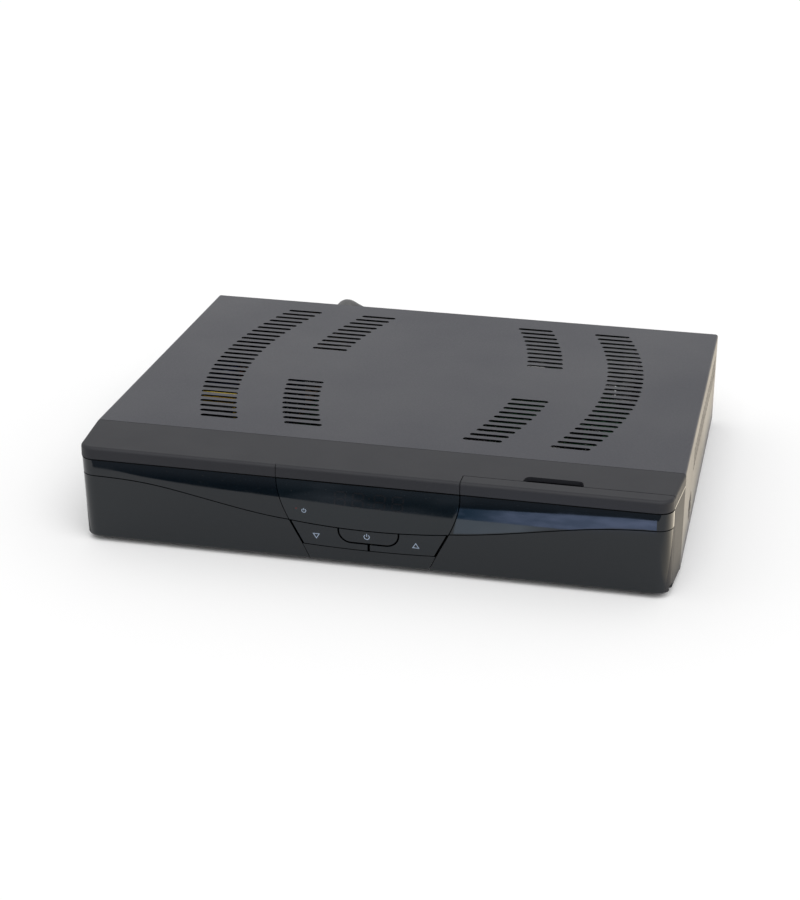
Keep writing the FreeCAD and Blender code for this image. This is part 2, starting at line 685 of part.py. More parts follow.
def make_trims():
    """The two gloss inserts over the long seams."""
    for label, side in (("left_trim", -1), ("door_trim", 1)):
        shape = skin(0, s.trimThickness - 0.05).common(trim_region(side, 0))
        node(label, feature(label, shape.common(front_zone(s.doorDepth - 1.1))))


def make_hinge_pins():
    length = s.bracketWidth + s.earGap + s.earWidth
    left = rod("leftPin", s.pinRadius, (hinge_left, hinge_y, hinge_z), length, "X")
    right = rod("rightPin", s.pinRadius, (hinge_right - length, hinge_y, hinge_z), length, "X")
    node("hinge_pins", group("hingePins", [left, right]))


def make_catch():
    """The sprung catch that holds the flap shut, on the wall behind it."""
    height = groove_low - 6
    reach = face_y(height) + s.bezelWall + s.earGap
    x = half - s.catchSideInset
    body = block("catchBody", (x - s.catchWidth / 2, x + s.catchWidth / 2),
                 (reach + 1.5, front + s.recessBack),
                 (height - s.catchHeight / 2, height + s.catchHeight / 2))
    tip = rod("catchTip", s.catchHeight / 2 - 0.2, (x - s.catchWidth / 2 + 1, reach + 1.8, height),
              s.catchWidth - 2, "X")
    node("door_catch", fuse("catch", body, tip))


front_board_y = front + s.frontBoardBack
post_spots = [(x, z) for x in (-s.postX, s.postX) for z in (bottom + s.postLowUp, top - s.postHighDown)]


def make_panel(shell):
    """The middle of the front: lip, bottom strip, and the frame behind lens and buttons."""
    middle = between_seams(0)
    face = shell.common(front_zone(s.bezelWall)).common(middle)
    face = face.cut(centre_band(sweep_ends, crown_line, 0)).cut(centre_band(button_foot, sweep_ends, 0))
    room = nose(s.bezelWall)
    frame = room.common(front_zone(s.bezelWall + s.frameWall)).common(middle)
    wide, low, high = s.windowWidth / 2, bottom + s.windowLowUp, groove_low - s.windowHighDown
    window = prism([(-wide, front - 12, low), (wide, front - 12, low), (wide, front - 12, high),
                    (-wide, front - 12, high)], (0, 40, 0))
    frame = frame.cut(window)
    for x in (-s.arrowX, 0, s.arrowX):
        start = vec(x, front - 12, bottom + s.switchUp)
        frame = frame.cut(Part.makeCylinder(float(s.bossRadius + 1), 40, start, Vector(0, 1, 0)))
    posts = []
    for x, z in post_spots:
        start = face_y(z) + s.bezelWall + 0.5
        post = Part.makeCylinder(float(s.postRadius), float(front_board_y - start), vec(x, start, z),
                                 Vector(0, 1, 0))
        bore = Part.makeCylinder(float(s.screwRadius + s.screwPlay), 4, vec(x, front_board_y - 3.5, z),
                                 Vector(0, 1, 0))
        posts.append((post, bore))
    shape = face.fuse(frame)
    for post, bore in posts:
        shape = shape.fuse(post)
    for post, bore in posts:
        shape = shape.cut(bore)
    node("centre_panel", feature("centre_panel", shape.removeSplitter()))


def make_lens(shell):
    """The smoked window in front of the display."""
    middle = between_seams(0.1)
    lens = nose(0).cut(nose(s.lensThickness)).common(centre_band(sweep_ends, crown_line, 0.1))
    node("display_lens", feature("display_lens", lens.common(middle).common(front_zone(s.lensThickness))))


def make_buttons():
    """Down, power and up: one band of the front, parted by narrow gaps."""
    gap = s.buttonGap
    plate = skin(0, s.buttonThickness).common(front_zone(s.buttonThickness))
    band = plate.common(centre_band(button_foot, sweep_ends, gap / 2)).common(between_seams(gap))
    power = band.common(power_shape(-gap / 2))
    sides = band.cut(power_shape(gap / 2))
    parting = prism([(-s.slotWidth / 2, front - 12, 0), (s.slotWidth / 2, front - 12, 0),
                     (s.slotWidth / 2, seam, 0), (-s.slotWidth / 2, seam, 0)], (0, 0, top))
    sides = sides.cut(parting)
    boss_end = front_board_y - s.plungerReach - s.buttonTravel - 0.05
    boss_start = face_y(bottom + s.switchUp) + s.buttonThickness - 0.4
    shapes = {"power_button": (power, 0)}
    for solid in sides.Solids:
        label = "down_button" if solid.CenterOfMass.x < 0 else "up_button"
        shapes[label] = (solid, -s.arrowX if label == "down_button" else s.arrowX)
    for label, (solid, x) in shapes.items():
        boss = Part.makeCylinder(float(s.bossRadius), float(boss_end - boss_start),
                                 vec(x, boss_start, bottom + s.switchUp), Vector(0, 1, 0))
        node(label, feature(label, solid.fuse(boss).removeSplitter()))


# ---- steel cover, tray and rear panel ----

def vent_slot(x, y):
    """One upright slot with round ends, long along X."""
    reach = s.ventLength / 2 - s.ventWidth / 2
    radius = float(s.ventWidth / 2)
    low = top - s.coverWall - 1
    ends = [Part.makeCylinder(radius, 4, vec(x + sign * reach, y, low)) for sign in (-1, 1)]
    middle = prism([(x - reach, y - s.ventWidth / 2, low), (x + reach, y - s.ventWidth / 2, low),
                    (x + reach, y + s.ventWidth / 2, low), (x - reach, y + s.ventWidth / 2, low)], (0, 0, 4))
    return middle.fuse(ends[0]).fuse(ends[1]).removeSplitter()


def make_vents():
    """Two bowed rows of slots on each half of the top; the inner ones stop short of the middle."""
    rows = int(float((rear - seam - s.ventFirstIn - s.ventFrontMargin) / s.ventPitch)) + 1
    inner = int(float(s.ventInnerRows))
    middle = (rows - 1) / 2
    slots = []
    for row in range(rows):
        y = rear - s.ventFirstIn - s.ventPitch * row
        share = (row - middle) / middle
        outer_x = s.ventEndX + s.ventSagitta * (1 - share * share)
        columns = [outer_x]
        if row < inner or row >= rows - inner:
            columns.append(outer_x - s.ventInnerShift)
        for x in columns:
            slots.append(vent_slot(x, y))
            slots.append(vent_slot(-x, y))
    return slots


def side_vents():
    """One row of upright slots on each side of the cover."""
    slots = []
    low = bottom + s.sideVentUp
    run = rear - s.sideVentFirstIn - (dimple_y + s.dimpleRadius + s.sideVentMargin)
    for row in range(int(float(run / s.ventPitch)) + 1):
        y = rear - s.sideVentFirstIn - s.ventPitch * row
        for side in (-1, 1):
            start = side * (half + 1)
            slots.append(prism([(start, y - s.sideVentWidth / 2, low), (start, y + s.sideVentWidth / 2, low),
                                (start, y + s.sideVentWidth / 2, low + s.sideVentHeight),
                                (start, y - s.sideVentWidth / 2, low + s.sideVentHeight)],
                               (-side * (s.coverWall + 2), 0, 0)))
    return slots


def make_cover():
    """An inverted U of sheet steel, with its vents, screw dimples and rear tabs."""
    start = seam + 0.25
    wall = s.coverWall
    body = padded("coverBody", "XZ_Plane",
                  [(-half, bottom), (-half + wall, bottom), (-half + wall, top - wall),
                   (half - wall, top - wall), (half - wall, bottom), (half, bottom), (half, top),
                   (-half, top)],
                  -rear, rear - start)
    doc.recompute()
    pad = body.Tip
    names = ["Edge%d" % (index + 1) for index, edge in enumerate(pad.Shape.Edges)
             if edge.BoundBox.YLength > 50 and edge.BoundBox.ZMin > float(top) - 0.01
             and abs(edge.BoundBox.XMin) > float(half) - 0.01]
    bend = body.newObject("PartDesign::Fillet", "coverBend")
    bend.Base = (pad, names)
    bend.setExpression("Radius", s.edgeRadius.text)
    body.Tip = bend
    bosses, recesses = [], []
    for side in (-1, 1):
        y, z = dimple_y, bottom + s.dimpleUp
        bosses.append(cone("dimpleBoss", s.dimpleRadius, s.dimpleFloorRadius + wall,
                           (side * (half - wall), y, z), s.dimpleDepth, "X", -side))
        recesses.append(cone("dimpleRecess", s.dimpleRadius, s.dimpleFloorRadius, (side * half, y, z),
                             s.dimpleDepth, "X", -side))
        recesses.append(rod("dimpleHole", s.screwRadius + 0.3, (side * half - 6, y, z), 12, "X"))
    tabs = []
    for x in tab_xs:
        tabs.append(block("coverTab", (x - s.tabWidth / 2, x + s.tabWidth / 2), (rear - wall, rear),
                          (top - s.tabHeight, top - wall / 2)))
        recesses.append(rod("tabHole", s.screwRadius + 0.3, (x, rear - 4, top - s.tabHeight / 2), 8, "Y"))
    pressed = fuse("coverPressed", body, *(bosses + tabs))
    drilled = cut("coverDrilled", pressed, *recesses)
    slots = feature("ventSlots", Part.makeCompound(make_vents() + side_vents()))
    node("top_cover", cut("cover", drilled, slots))


def make_tray():
    """The flat tray with its two side flanges and a low front flange."""
    side = tray_half
    floor = block("trayFloor", (-side, side), (tray_front, panel_in), (bottom, tray_top))
    ends = (tray_front, panel_in - 12)
    flanges = [block("trayLeft", (-side, -side + s.baseWall), ends, (bottom, bottom + s.trayFlange)),
               block("trayRight", (side - s.baseWall, side), ends, (bottom, bottom + s.trayFlange)),
               block("trayFront", (-side, side), (tray_front, tray_front + s.baseWall),
                     (bottom, tray_top + s.trayFrontFlange)),
               block("trayApron", (-half + s.noseTaper + 4, half - s.noseTaper - 4),
                     (seam - 6, tray_front + 1),
                     (bottom + s.bezelWall, bottom + s.bezelWall + s.baseWall))]
    tray = fuse("trayBent", floor, *flanges)
    holes = [rod("flangeHole", s.screwRadius + s.screwPlay, (start, dimple_y, bottom + s.dimpleUp),
                 6, "X") for start in (-side - 3, side - 3)]
    slots = []
    for row in range(int(float((rear - seam - s.trayVentIn - s.trayVentMargin) / s.trayVentPitch)) + 1):
        y = rear - s.trayVentIn - s.trayVentPitch * row
        for x in (core_x, s.chipX):
            slots.append(block("trayVent", (x - 14, x + 14), (y - 1.2, y + 1.2), (bottom - 1, tray_top + 1)))
    node("base_chassis", cut("tray", tray, *(holes + slots)))


SOCKETS = ("usb", "hdmi", "ethernet")
SOCKET_ROW = {"usb": s.usbWidth, "hdmi": s.hdmiWidth, "ethernet": s.ethernetWidth, "optical": s.opticalWidth,
              "phono": 2 * s.phonoPitch, "scart": s.scartWidth}


def socket_middles():
    """The middle of each socket, from the tuner leftwards along the board with equal gaps."""
    total = sum(SOCKET_ROW.values(), size_of(0))
    gap = (can_left - main_left - s.socketRowIn - total) / len(SOCKET_ROW)
    middles, used, passed = {}, size_of(0), 1
    for stem, wide in SOCKET_ROW.items():
        middles[stem] = can_left - gap * passed - used - wide / 2
        used = used + wide
        passed = passed + 1
    return middles


socket_x = socket_middles()


def socket_bounds(stem):
    """The outside of one socket: its bounds across and up."""
    x, wide, tall = socket_x[stem], SOCKET_ROW[stem], getattr(s, stem + "Height")
    return (x - wide / 2, x + wide / 2), (board_top, board_top + tall)


aerial_xs = (can_x - s.aerialSpacing / 2, can_x + s.aerialSpacing / 2)
aerial_z = board_top + s.aerialUp
phono_xs = (socket_x["phono"] - s.phonoPitch / 2, socket_x["phono"] + s.phonoPitch / 2)
phono_zs = (top - s.phonoDown - s.phonoPitch, top - s.phonoDown)
switch_z = bottom + s.mainsSwitchUp
lead_z = bottom + s.leadUp


def make_rear_panel():
    """The upright steel panel with a cut-out for each socket."""
    wide = half - s.coverWall - s.panelGap
    plate = block("rearPlate", (-wide, wide), (panel_in, panel_out), (bottom, top - s.coverWall - s.panelGap))
    flange = block("rearFlange", (-wide + 6, wide - 6), (panel_in - s.rearFlange, panel_out),
                   (tray_top, tray_top + s.rearWall))
    play = s.cutPlay
    through = (panel_in - 2, panel_out + 2)
    holes = []
    for stem in SOCKETS + ("optical", "scart"):
        x, z = socket_bounds(stem)
        holes.append(block(stem + "Hole", (x[0] - play, x[1] + play), through, (z[0] - play, z[1] + play)))
    wide, tall = s.switchBodyWidth / 2 + play, s.switchBodyHeight / 2 + play
    holes.append(block("switchHole", (switch_x - wide, switch_x + wide), through,
                       (switch_z - tall, switch_z + tall)))
    for x in aerial_xs:
        holes.append(rod("aerialHole", s.aerialRootRadius + play, (x, panel_in - 2, aerial_z), 5, "Y"))
    for x in phono_xs:
        for z in phono_zs:
            holes.append(rod("phonoHole", s.phonoCollar + play, (x, panel_in - 2, z), 5, "Y"))
    holes.append(rod("leadHole", s.reliefNeck + 0.1, (lead_x, panel_in - 2, lead_z), 5, "Y"))
    for x in tab_xs:
        holes.append(rod("panelScrewHole", s.screwRadius + s.screwPlay,
                         (x, panel_in - 2, top - s.tabHeight / 2), 5, "Y"))
    node("rear_panel", cut("rearPanel", fuse("rearBent", plate, flange), *holes))


def make_feet():
    foot = turned("foot", [(0, 0), (s.footRadius - 1, 0), (s.footRadius, 1), (s.footRadius, s.footHeight),
                           (0, s.footHeight)])
    xs = (-half + s.footSideInset, half - s.footSideInset)
    ys = (front + s.footFrontInset, rear - s.footRearInset)
    copies("rubber_feet", foot, [facing(Vector(0, 0, 1), x, y, 0) for x in xs for y in ys])


def screw_body(name, length):
    """A pan-head screw, its shank down from the underside of the head."""
    return turned(name, [(0, -length), (s.screwRadius, -length), (s.screwRadius, 0), (s.headRadius, 0),
                         (s.headRadius, s.headHeight * 0.6), (s.headRadius * 0.7, s.headHeight),
                         (0, s.headHeight)])


def make_cover_screws():
    screw = screw_body("coverScrew", s.screwLength)
    places = [facing(Vector(side, 0, 0), side * (half - s.dimpleDepth), dimple_y, bottom + s.dimpleUp)
              for side in (-1, 1)]
    places += [facing(Vector(0, 1, 0), x, rear, top - s.tabHeight / 2) for x in tab_xs]
    copies("cover_screws", screw, places)


# ---- boards ----

def corners_of(left, right, low, high):
    return [(x, y) for x in (left, right) for y in (low, high)]


inset = s.boardHoleInset
main_spots = corners_of(main_left + inset, main_right - inset,
                        tray_front + s.baseWall + s.standoffRadius + s.standoffGap, rear - s.mainHoleRearIn)
psu_spots = corners_of(psu_left + inset, psu_right - inset, psu_front + inset, psu_rear - inset)


def plate(label, x, y, low, thick, holes):
    """A flat sheet between bounds across and along, with its round holes."""
    corners = [(x[0], y[0]), (x[1], y[0]), (x[1], y[1]), (x[0], y[1])]
    node(label, padded(label, "XY_Plane", corners, low, thick, holes))


def make_boards():
    hole = s.screwRadius + s.screwPlay
    plate("main_board", (main_left, main_right), (main_front, main_rear), board_low, s.boardThickness,
          [(x, y, hole) for x, y in main_spots])
    plate("psu_board", (psu_left, psu_right), (psu_front, psu_rear), board_low, s.boardThickness,
          [(x, y, hole) for x, y in psu_spots])
    post = padded("standoff", "XY_Plane", [], 0, s.standoffHeight,
                  [(0, 0, s.standoffRadius), (0, 0, hole)])
    places = main_spots + psu_spots
    copies("board_standoffs", post, [facing(Vector(0, 0, 1), x, y, tray_top) for x, y in places])
    screw = screw_body("boardScrew", s.boardScrewLength)
    copies("board_screws", screw, [facing(Vector(0, 0, 1), x, y, board_top) for x, y in places])
    side, end = s.sheetMargin, s.sheetEndMargin
    plate("insulating_sheet", (psu_left - side, psu_right + side), (psu_front - end, psu_rear + end),
          tray_top, s.sheetThickness, [(x, y, s.standoffRadius + s.standoffGap) for x, y in psu_spots])


def make_front_board():
    """The upright board behind the panel, with switches, display, eye and lamp."""
    plane_y = front_board_y
    holes = [(x, z, s.screwRadius + s.screwPlay) for x, z in post_spots]
    left, right = -s.frontBoardLeft, s.frontBoardRight
    low, high = bottom + s.frontBoardLowUp, top - s.bezelWall - s.frontBoardTopGap
    corners = [(left, low), (right, low), (right, high), (left, high)]
    node("front_board", padded("front_board", "XZ_Plane", corners, -plane_y - s.boardThickness,
                               s.boardThickness, holes))
    screw = screw_body("panelScrew", s.boardThickness + 2.5)
    copies("panel_screws", screw, [facing(Vector(0, 1, 0), x, plane_y + s.boardThickness, z)
                                   for x, z, radius in holes])
    switches = []
    for x in (-s.arrowX, 0, s.arrowX):
        side = s.switchSide / 2
        z = bottom + s.switchUp
        case = block("switchCase", (x - side, x + side), (plane_y - s.switchHeight, plane_y),
                     (z - side, z + side))
        plunger = rod("plunger", s.plungerRadius, (x, plane_y - s.plungerReach, z), s.plungerReach - 1, "Y")
        switches.append(fuse("tactSwitch", case, plunger))
    node("tact_switches", group("tactSwitches", switches))
    eye_z = groove_low - s.displayDown
    wide, tall = s.displayWidth / 2, s.displayHeight / 2
    node("display_module", block("displayModule", (s.displayX - wide, s.displayX + wide),
                                 (plane_y - s.displayDepth, plane_y), (eye_z - tall, eye_z + tall)))
    case = block("eyeCase", (-s.eyeX - s.eyeWidth / 2, -s.eyeX + s.eyeWidth / 2),
                 (plane_y - s.eyeDepth + 1.5, plane_y), (eye_z - s.eyeHeight / 2, eye_z + s.eyeHeight / 2))
    dome = rod("eyeDome", s.eyeWidth / 2 - 0.5, (-s.eyeX, plane_y - s.eyeDepth, eye_z), s.eyeDepth - 1, "Y")
    node("ir_receiver", fuse("eye", case, dome))
    node("standby_led", fuse("lamp", rod("lampStem", s.ledRadius, (-s.ledX, plane_y - s.ledReach,
                                         bottom + s.ledUp), s.ledReach, "Y"),
                             rod("lampFoot", s.ledRadius + 0.5, (-s.ledX, plane_y - 1.5, bottom + s.ledUp),
                                 1.5, "Y")))
    back = plane_y + s.boardThickness
    low, high = board_top, bottom + s.switchUp + 3
    thick = s.ribbonThickness
    end = main_front + s.ribbonEndIn
    ribbon = [(back, high), (back + 4, high), (back + 7, high - 2), (end - 3, low + thick),
              (end, low + thick), (end, low), (end - 3, low), (back + 7 - thick, high - 2 - thick),
              (back + 4, high - thick),
              (back, high - thick)]
    node("ribbon_cable", padded("ribbon_cable", "YZ_Plane", ribbon, s.ribbonX - s.ribbonWidth / 2,
                                s.ribbonWidth))


def make_supply():
    """What stands on the supply board."""
    x, y, z = core_x, rear - s.coreIn, board_top
    wide, deep, tall, bar = s.coreWidth / 2, s.coreDepth / 2, s.coreHeight, s.coreBar
    legs = block("coreBlock", (x - wide, x + wide), (y - deep, y + deep), (z, z + tall))
    window = block("coreWindow", (x - wide + bar, x + wide - bar), (y - deep - 1, y + deep + 1),
                   (z + bar, z + tall - bar))
    node("transformer_core", cut("core", legs, window))
    node("transformer_coil", block("coil", (x - wide + bar, x + wide - bar),
                                   (y - s.coilDepth / 2, y + s.coilDepth / 2), (z + bar, z + tall - bar)))
    node("bulk_capacitor", rod("bulk", s.bulkRadius, (psu_left + s.bulkSide, rear - s.bulkIn, z),
                               s.bulkHeight))
    node("output_capacitors", group("outCaps", [
        rod("outCap", s.outCapRadius,
            (psu_right - s.outCapSide, rear - s.outCapIn - s.outCapPitch * index, z), s.outCapHeight)
        for index in range(5)]))
    sink_x, sink_y = psu_left + s.sinkSide, rear - s.sinkIn
    plate = block("sinkPlate", (sink_x, sink_x + s.sinkWall), (sink_y - s.sinkLength / 2,
                  sink_y + s.sinkLength / 2), (z, z + s.sinkHeight))
    fins = [block("sinkFin", (sink_x - s.sinkFin, sink_x + s.sinkWall / 2),
                  (sink_y + offset * s.sinkLength / 2 - s.sinkWall / 2,
                   sink_y + offset * s.sinkLength / 2 + s.sinkWall / 2), (z, z + s.sinkHeight))
            for offset in (-0.9, 0, 0.9)]
    node("psu_heatsink", fuse("supplySink", plate, *fins))
    choke_x, choke_y = psu_left + s.chokeSide, rear - s.chokeIn
    body = block("chokeBody", (choke_x - s.chokeWidth / 2, choke_x + s.chokeWidth / 2),
                 (choke_y - s.chokeDepth / 2, choke_y + s.chokeDepth / 2), (z, z + s.chokeHeight))
    gap = block("chokeGap", (choke_x - s.chokeWidth / 2 + 5, choke_x + s.chokeWidth / 2 - 5),
                (choke_y - s.chokeDepth, choke_y + s.chokeDepth), (z + 5, z + s.chokeHeight - 5))
    node("line_choke", cut("choke", body, gap))
    fuse_y = rear - s.fuseIn - s.fuseLength / 2
    node("mains_fuse", rod("fuseTube", s.fuseRadius, (psu_left + s.fuseSide, fuse_y, z + s.fuseRadius),
                           s.fuseLength, "Y"))


def make_main_parts():
    """What stands on the main board."""
    z = board_top
    side = s.chipSide / 2
    x, y = s.chipX, rear - s.chipIn
    node("decoder_chip", block("chip", (x - side, x + side), (y - side, y + side), (z, z + s.chipHeight)))
    base = z + s.chipHeight
    wide = s.coolerSide / 2
    plate = block("coolerPlate", (x - wide, x + wide), (y - wide, y + wide), (base, base + s.coolerBase))
    count = int(float(s.coolerFins))
    step = (s.coolerSide - s.finWall) / (count - 1)
    fins = [block("coolerFin", (x - wide + step * index, x - wide + step * index + s.finWall),
                  (y - wide, y + wide), (base, base + s.coolerHeight)) for index in range(count)]
    node("chip_heatsink", fuse("cooler", plate, *fins))
    node("memory_chips", group("memory", [
        block("memoryChip", (s.memoryX, s.memoryX + s.memoryWidth),
              (rear - s.memoryIn - s.memoryPitch * index - s.memoryDepth,
               rear - s.memoryIn - s.memoryPitch * index), (z, z + s.memoryHeight)) for index in range(4)]))
    pitch = s.smallCapPitch
    rows = (rear - s.smallCapIn, main_front + s.smallCapFrontIn + pitch, main_front + s.smallCapFrontIn)
    node("board_capacitors", group("smallCaps", [
        rod("smallCap", s.smallCapRadius, (pitch * column - s.smallCapX, y, z), s.smallCapHeight)
        for column in range(2) for y in rows]))
    start = cage_front
    case = block("cageCase", (cage_x - s.cageWidth / 2, cage_x + s.cageWidth / 2),
                 (start, start + s.cageDepth), (z, z + s.cageHeight))
    lows = [z + s.cardLowUp + s.cardPitch * level for level in range(2)]
    slots = [block("cardSlot", (cage_x - s.cardWidth / 2, cage_x + s.cardWidth / 2),
                   (start - 1, start + s.cageDepth - s.cageWall * 4), (low, low + s.cardHeight))
             for low in lows]
    node("module_cage", cut("cage", case, *slots))
    low = z + s.cageHeight
    reader = block("readerCase", (cage_x - s.cageWidth / 2 + 1, cage_x + s.cageWidth / 2 - 1),
                   (start, start + s.readerDepth), (low, low + s.readerHeight))
    slot = block("readerSlot", (cage_x - s.cardWidth / 2, cage_x + s.cardWidth / 2),
                 (start - 1, start + s.chipCardDepth),
                 (low + s.chipCardUp, low + s.chipCardUp + s.chipCardHeight))
    node("card_reader", cut("reader", reader, slot))
    rise, thick = s.harnessRise, s.harnessThickness
    left, right = psu_right - s.harnessReach, main_left + s.harnessReach
    profile = [(left, z), (left + 2, z), (left + 3, z + rise), (right - 3, z + rise), (right - 2, z),
               (right, z), (right - 2, z + rise + thick), (left + 2, z + rise + thick)]
    node("supply_harness", padded("supply_harness", "XZ_Plane", profile,
                                  -(rear - s.harnessIn) - s.harnessWidth / 2, s.harnessWidth))


# ---- sockets of the rear panel ----

def make_tuner():
    """The screened tuner and its two threaded aerial sockets, each with a nut on the panel."""
    y_face = panel_in - s.socketGap
    node("tuner_can", block("can", (can_left, can_right), (y_face - s.canDepth, y_face),
                            (board_top, board_top + s.canHeight)))
    reach = rear + s.connectorReach - y_face
    root = panel_out + s.nutHeight + s.nutRunOut - y_face
    floor = reach - s.aerialBoreDepth
    tip = s.aerialRadius - s.aerialChamfer
    socket = turned("aerial", [(0, 0), (s.aerialRootRadius, 0), (s.aerialRootRadius, root),
                               (s.aerialRadius, root), (s.aerialRadius, reach - s.aerialChamfer),
                               (tip, reach), (s.aerialBore, reach), (s.aerialBore, floor), (0, floor)])
    copies("aerial_sockets", socket, [facing(Vector(0, 1, 0), x, y_face, aerial_z) for x in aerial_xs])
    nuts = []
    for x in aerial_xs:
        turns = [math.radians(60 * index) for index in range(6)]
        ring = [(x + s.nutRadius * math.cos(turn), panel_out, aerial_z + s.nutRadius * math.sin(turn))
                for turn in turns]
        hole = Part.makeCylinder(float(s.aerialRootRadius + s.nutPlay), float(2 * s.nutHeight),
                                 vec(x, panel_out - s.nutHeight / 2, aerial_z), Vector(0, 1, 0))
        nuts.append(prism(ring, (0, s.nutHeight, 0)).cut(hole))
    node("aerial_nuts", feature("aerial_nuts", Part.makeCompound(nuts)))


def make_sockets():
    """Square sockets, each with its mouth, and the optical socket with its stopper."""
    face = panel_out + s.socketProud
    for stem in SOCKETS:
        x, z = socket_bounds(stem)
        deep, mouth_wide, mouth_tall, mouth_deep = (getattr(s, stem + word) for word in (
            "Depth", "MouthWidth", "MouthHeight", "MouthDepth"))
        case = block(stem + "Case", x, (face - deep, face), z)
        middle_x, middle_z = (x[0] + x[1]) / 2, (z[0] + z[1]) / 2
        mouth = block(stem + "Mouth", (middle_x - mouth_wide / 2, middle_x + mouth_wide / 2),
                      (face - mouth_deep, face + 1), (middle_z - mouth_tall / 2, middle_z + mouth_tall / 2))
        node(stem + "_socket", cut(stem, case, mouth))
    x, z = socket_bounds("optical")
    case = block("opticalCase", x, (face - s.opticalDepth, face), z)
    middle = board_top + s.opticalHeight / 2
    stopper = rod("opticalStopper", s.plugRadius, (socket_x["optical"], face - 1, middle),
                  1 + s.plugStand, "Y")
    node("optical_socket", fuse("optical", case, stopper))


def make_phono():
    """Four phono jacks in one block: collar, barrel and bore each."""
    face = panel_in - s.socketGap
    pad = s.phonoPad
    case = block("phonoCase", (phono_xs[0] - pad, phono_xs[1] + pad), (face - s.phonoBlockDepth, face),
                 (board_top, phono_zs[1] + pad))
    collar_end, end = panel_out + s.phonoCollarProud, panel_out + s.phonoReach
    parts, bores = [case], []
    for x in phono_xs:
        for z in phono_zs:
            start = (x, face - 1, z)
            parts.append(rod("phonoCollar", s.phonoCollar, start, collar_end - face + 1, "Y"))
            parts.append(rod("phonoBarrel", s.phonoRadius, start, end - face + 1, "Y"))
            bores.append(rod("phonoBore", s.phonoBore, (x, end - s.phonoBoreDepth, z),
                             s.phonoBoreDepth + 1, "Y"))
    node("phono_sockets", cut("phono", fuse("phonoBlock", *parts), *bores))


def make_scart():
    """The wide video socket: a slanted outline, with a groove around its contact block."""
    face = panel_out + s.socketProud
    x, z = socket_x["scart"], board_top
    wide, tall, slant = s.scartWidth / 2, s.scartHeight, s.scartSlant

    def outline_at(inset):
        left, right, low, high = x - wide + inset, x + wide - inset, z + inset, z + tall - inset
        return [(left, low), (right, low), (right, high), (left + slant, high), (left, high - slant)]

    case = padded("scartCase", "XZ_Plane", outline_at(0), -face, s.scartDepth)
    rim, groove = s.scartRim, s.scartRim + s.scartGroove
    ring = padded("scartRing", "XZ_Plane", outline_at(rim), -face - 1, s.scartGrooveDepth + 1)
    core = padded("scartCore", "XZ_Plane", outline_at(groove), -face - 2, s.scartGrooveDepth + 4)
    node("scart_socket", cut("scart", case, cut("scartGrooveTool", ring, core)))


def make_mains_switch():
    """The switch housing in the panel, open at the rear for its rocker."""
    x, z = switch_x, switch_z
    flange = block("switchFlange", (x - s.switchFlangeWidth / 2, x + s.switchFlangeWidth / 2),
                   (panel_out, panel_out + s.switchFlange),
                   (z - s.switchFlangeHeight / 2, z + s.switchFlangeHeight / 2))
    body = block("switchBody", (x - s.switchBodyWidth / 2, x + s.switchBodyWidth / 2),
                 (panel_out - s.switchBodyDepth, panel_out + s.switchFlange / 2),
                 (z - s.switchBodyHeight / 2, z + s.switchBodyHeight / 2))
    play = s.rockerPlay
    room = block("switchRoom", (x - s.rockerHalfWidth - play, x + s.rockerHalfWidth + play),
                 (panel_out - s.switchBodyDepth + 2, panel_out + s.switchFlange + 1),
                 (z - s.rockerHalfHeight - play - 0.7, z + s.rockerHalfHeight + play + 0.7))
    pivot = rod("switchPivotHole", s.pivotRadius + s.pinPlay,
                (x - s.rockerHalfWidth - s.pivotReach - 0.1, panel_out - s.pivotIn, z),
                2 * (s.rockerHalfWidth + s.pivotReach + 0.1), "X")
    node("mains_switch", cut("mainsSwitch", fuse("switchHousing", flange, body), room, pivot))
    y = panel_out - s.pivotIn
    profile = [(s.rockerRidge, 0), (s.rockerEnd, s.rockerHalfHeight), (-1, s.rockerHalfHeight - 0.3),
               (-4.5, 3), (-4.5, -3), (-1, 0.3 - s.rockerHalfHeight), (s.rockerEnd, -s.rockerHalfHeight)]
    left = x - s.rockerHalfWidth
    rocker = prism([(left, y + out, z + up) for out, up in profile], (2 * s.rockerHalfWidth, 0, 0))
    pivot_length = 2 * (s.rockerHalfWidth + s.pivotReach)
    rocker = rocker.fuse(along_x(s.pivotRadius, left - s.pivotReach, pivot_length, y, z))
    rocker.rotate(vec(x, y, z), Vector(1, 0, 0), -float(s.rockerTilt))
    node("mains_rocker", feature("mains_rocker", rocker.removeSplitter()))


# ---- mains lead ----

def rounded_path(points, label):
    """Straight runs joined by tangent arcs, each as large as its two runs allow."""
    corners = [vec(*point) for point in points]
    edges, start = [], corners[0]
    for before, corner, after in zip(corners, corners[1:], corners[2:]):
        into, out = (corner - before), (after - corner)
        turn = into.getAngle(out)
        reach = 0.45 * min(into.Length, out.Length)
        into.normalize()
        out.normalize()
        first, last = corner - into * reach, corner + out * reach
        radius = reach / math.tan(turn / 2)
        print("%s bend radius %.1f mm" % (label, radius))
        towards = out - into
        towards.normalize()
        centre = corner + towards * (radius / math.cos(turn / 2))
        middle = centre - towards * radius
        edges.append(Part.LineSegment(start, first).toShape())
        edges.append(Part.Arc(first, middle, last).toShape())
        start = last
    edges.append(Part.LineSegment(start, corners[-1]).toShape())
    return Part.Wire(edges)


def tube(path, radius):
    """A round tube along a path."""
    start = path.Edges[0].Vertexes[0].Point
    heading = path.Edges[0].tangentAt(path.Edges[0].FirstParameter)
    ring = Part.Wire(Part.makeCircle(float(radius), start, heading))
    return path.makePipeShell([ring], True, False)


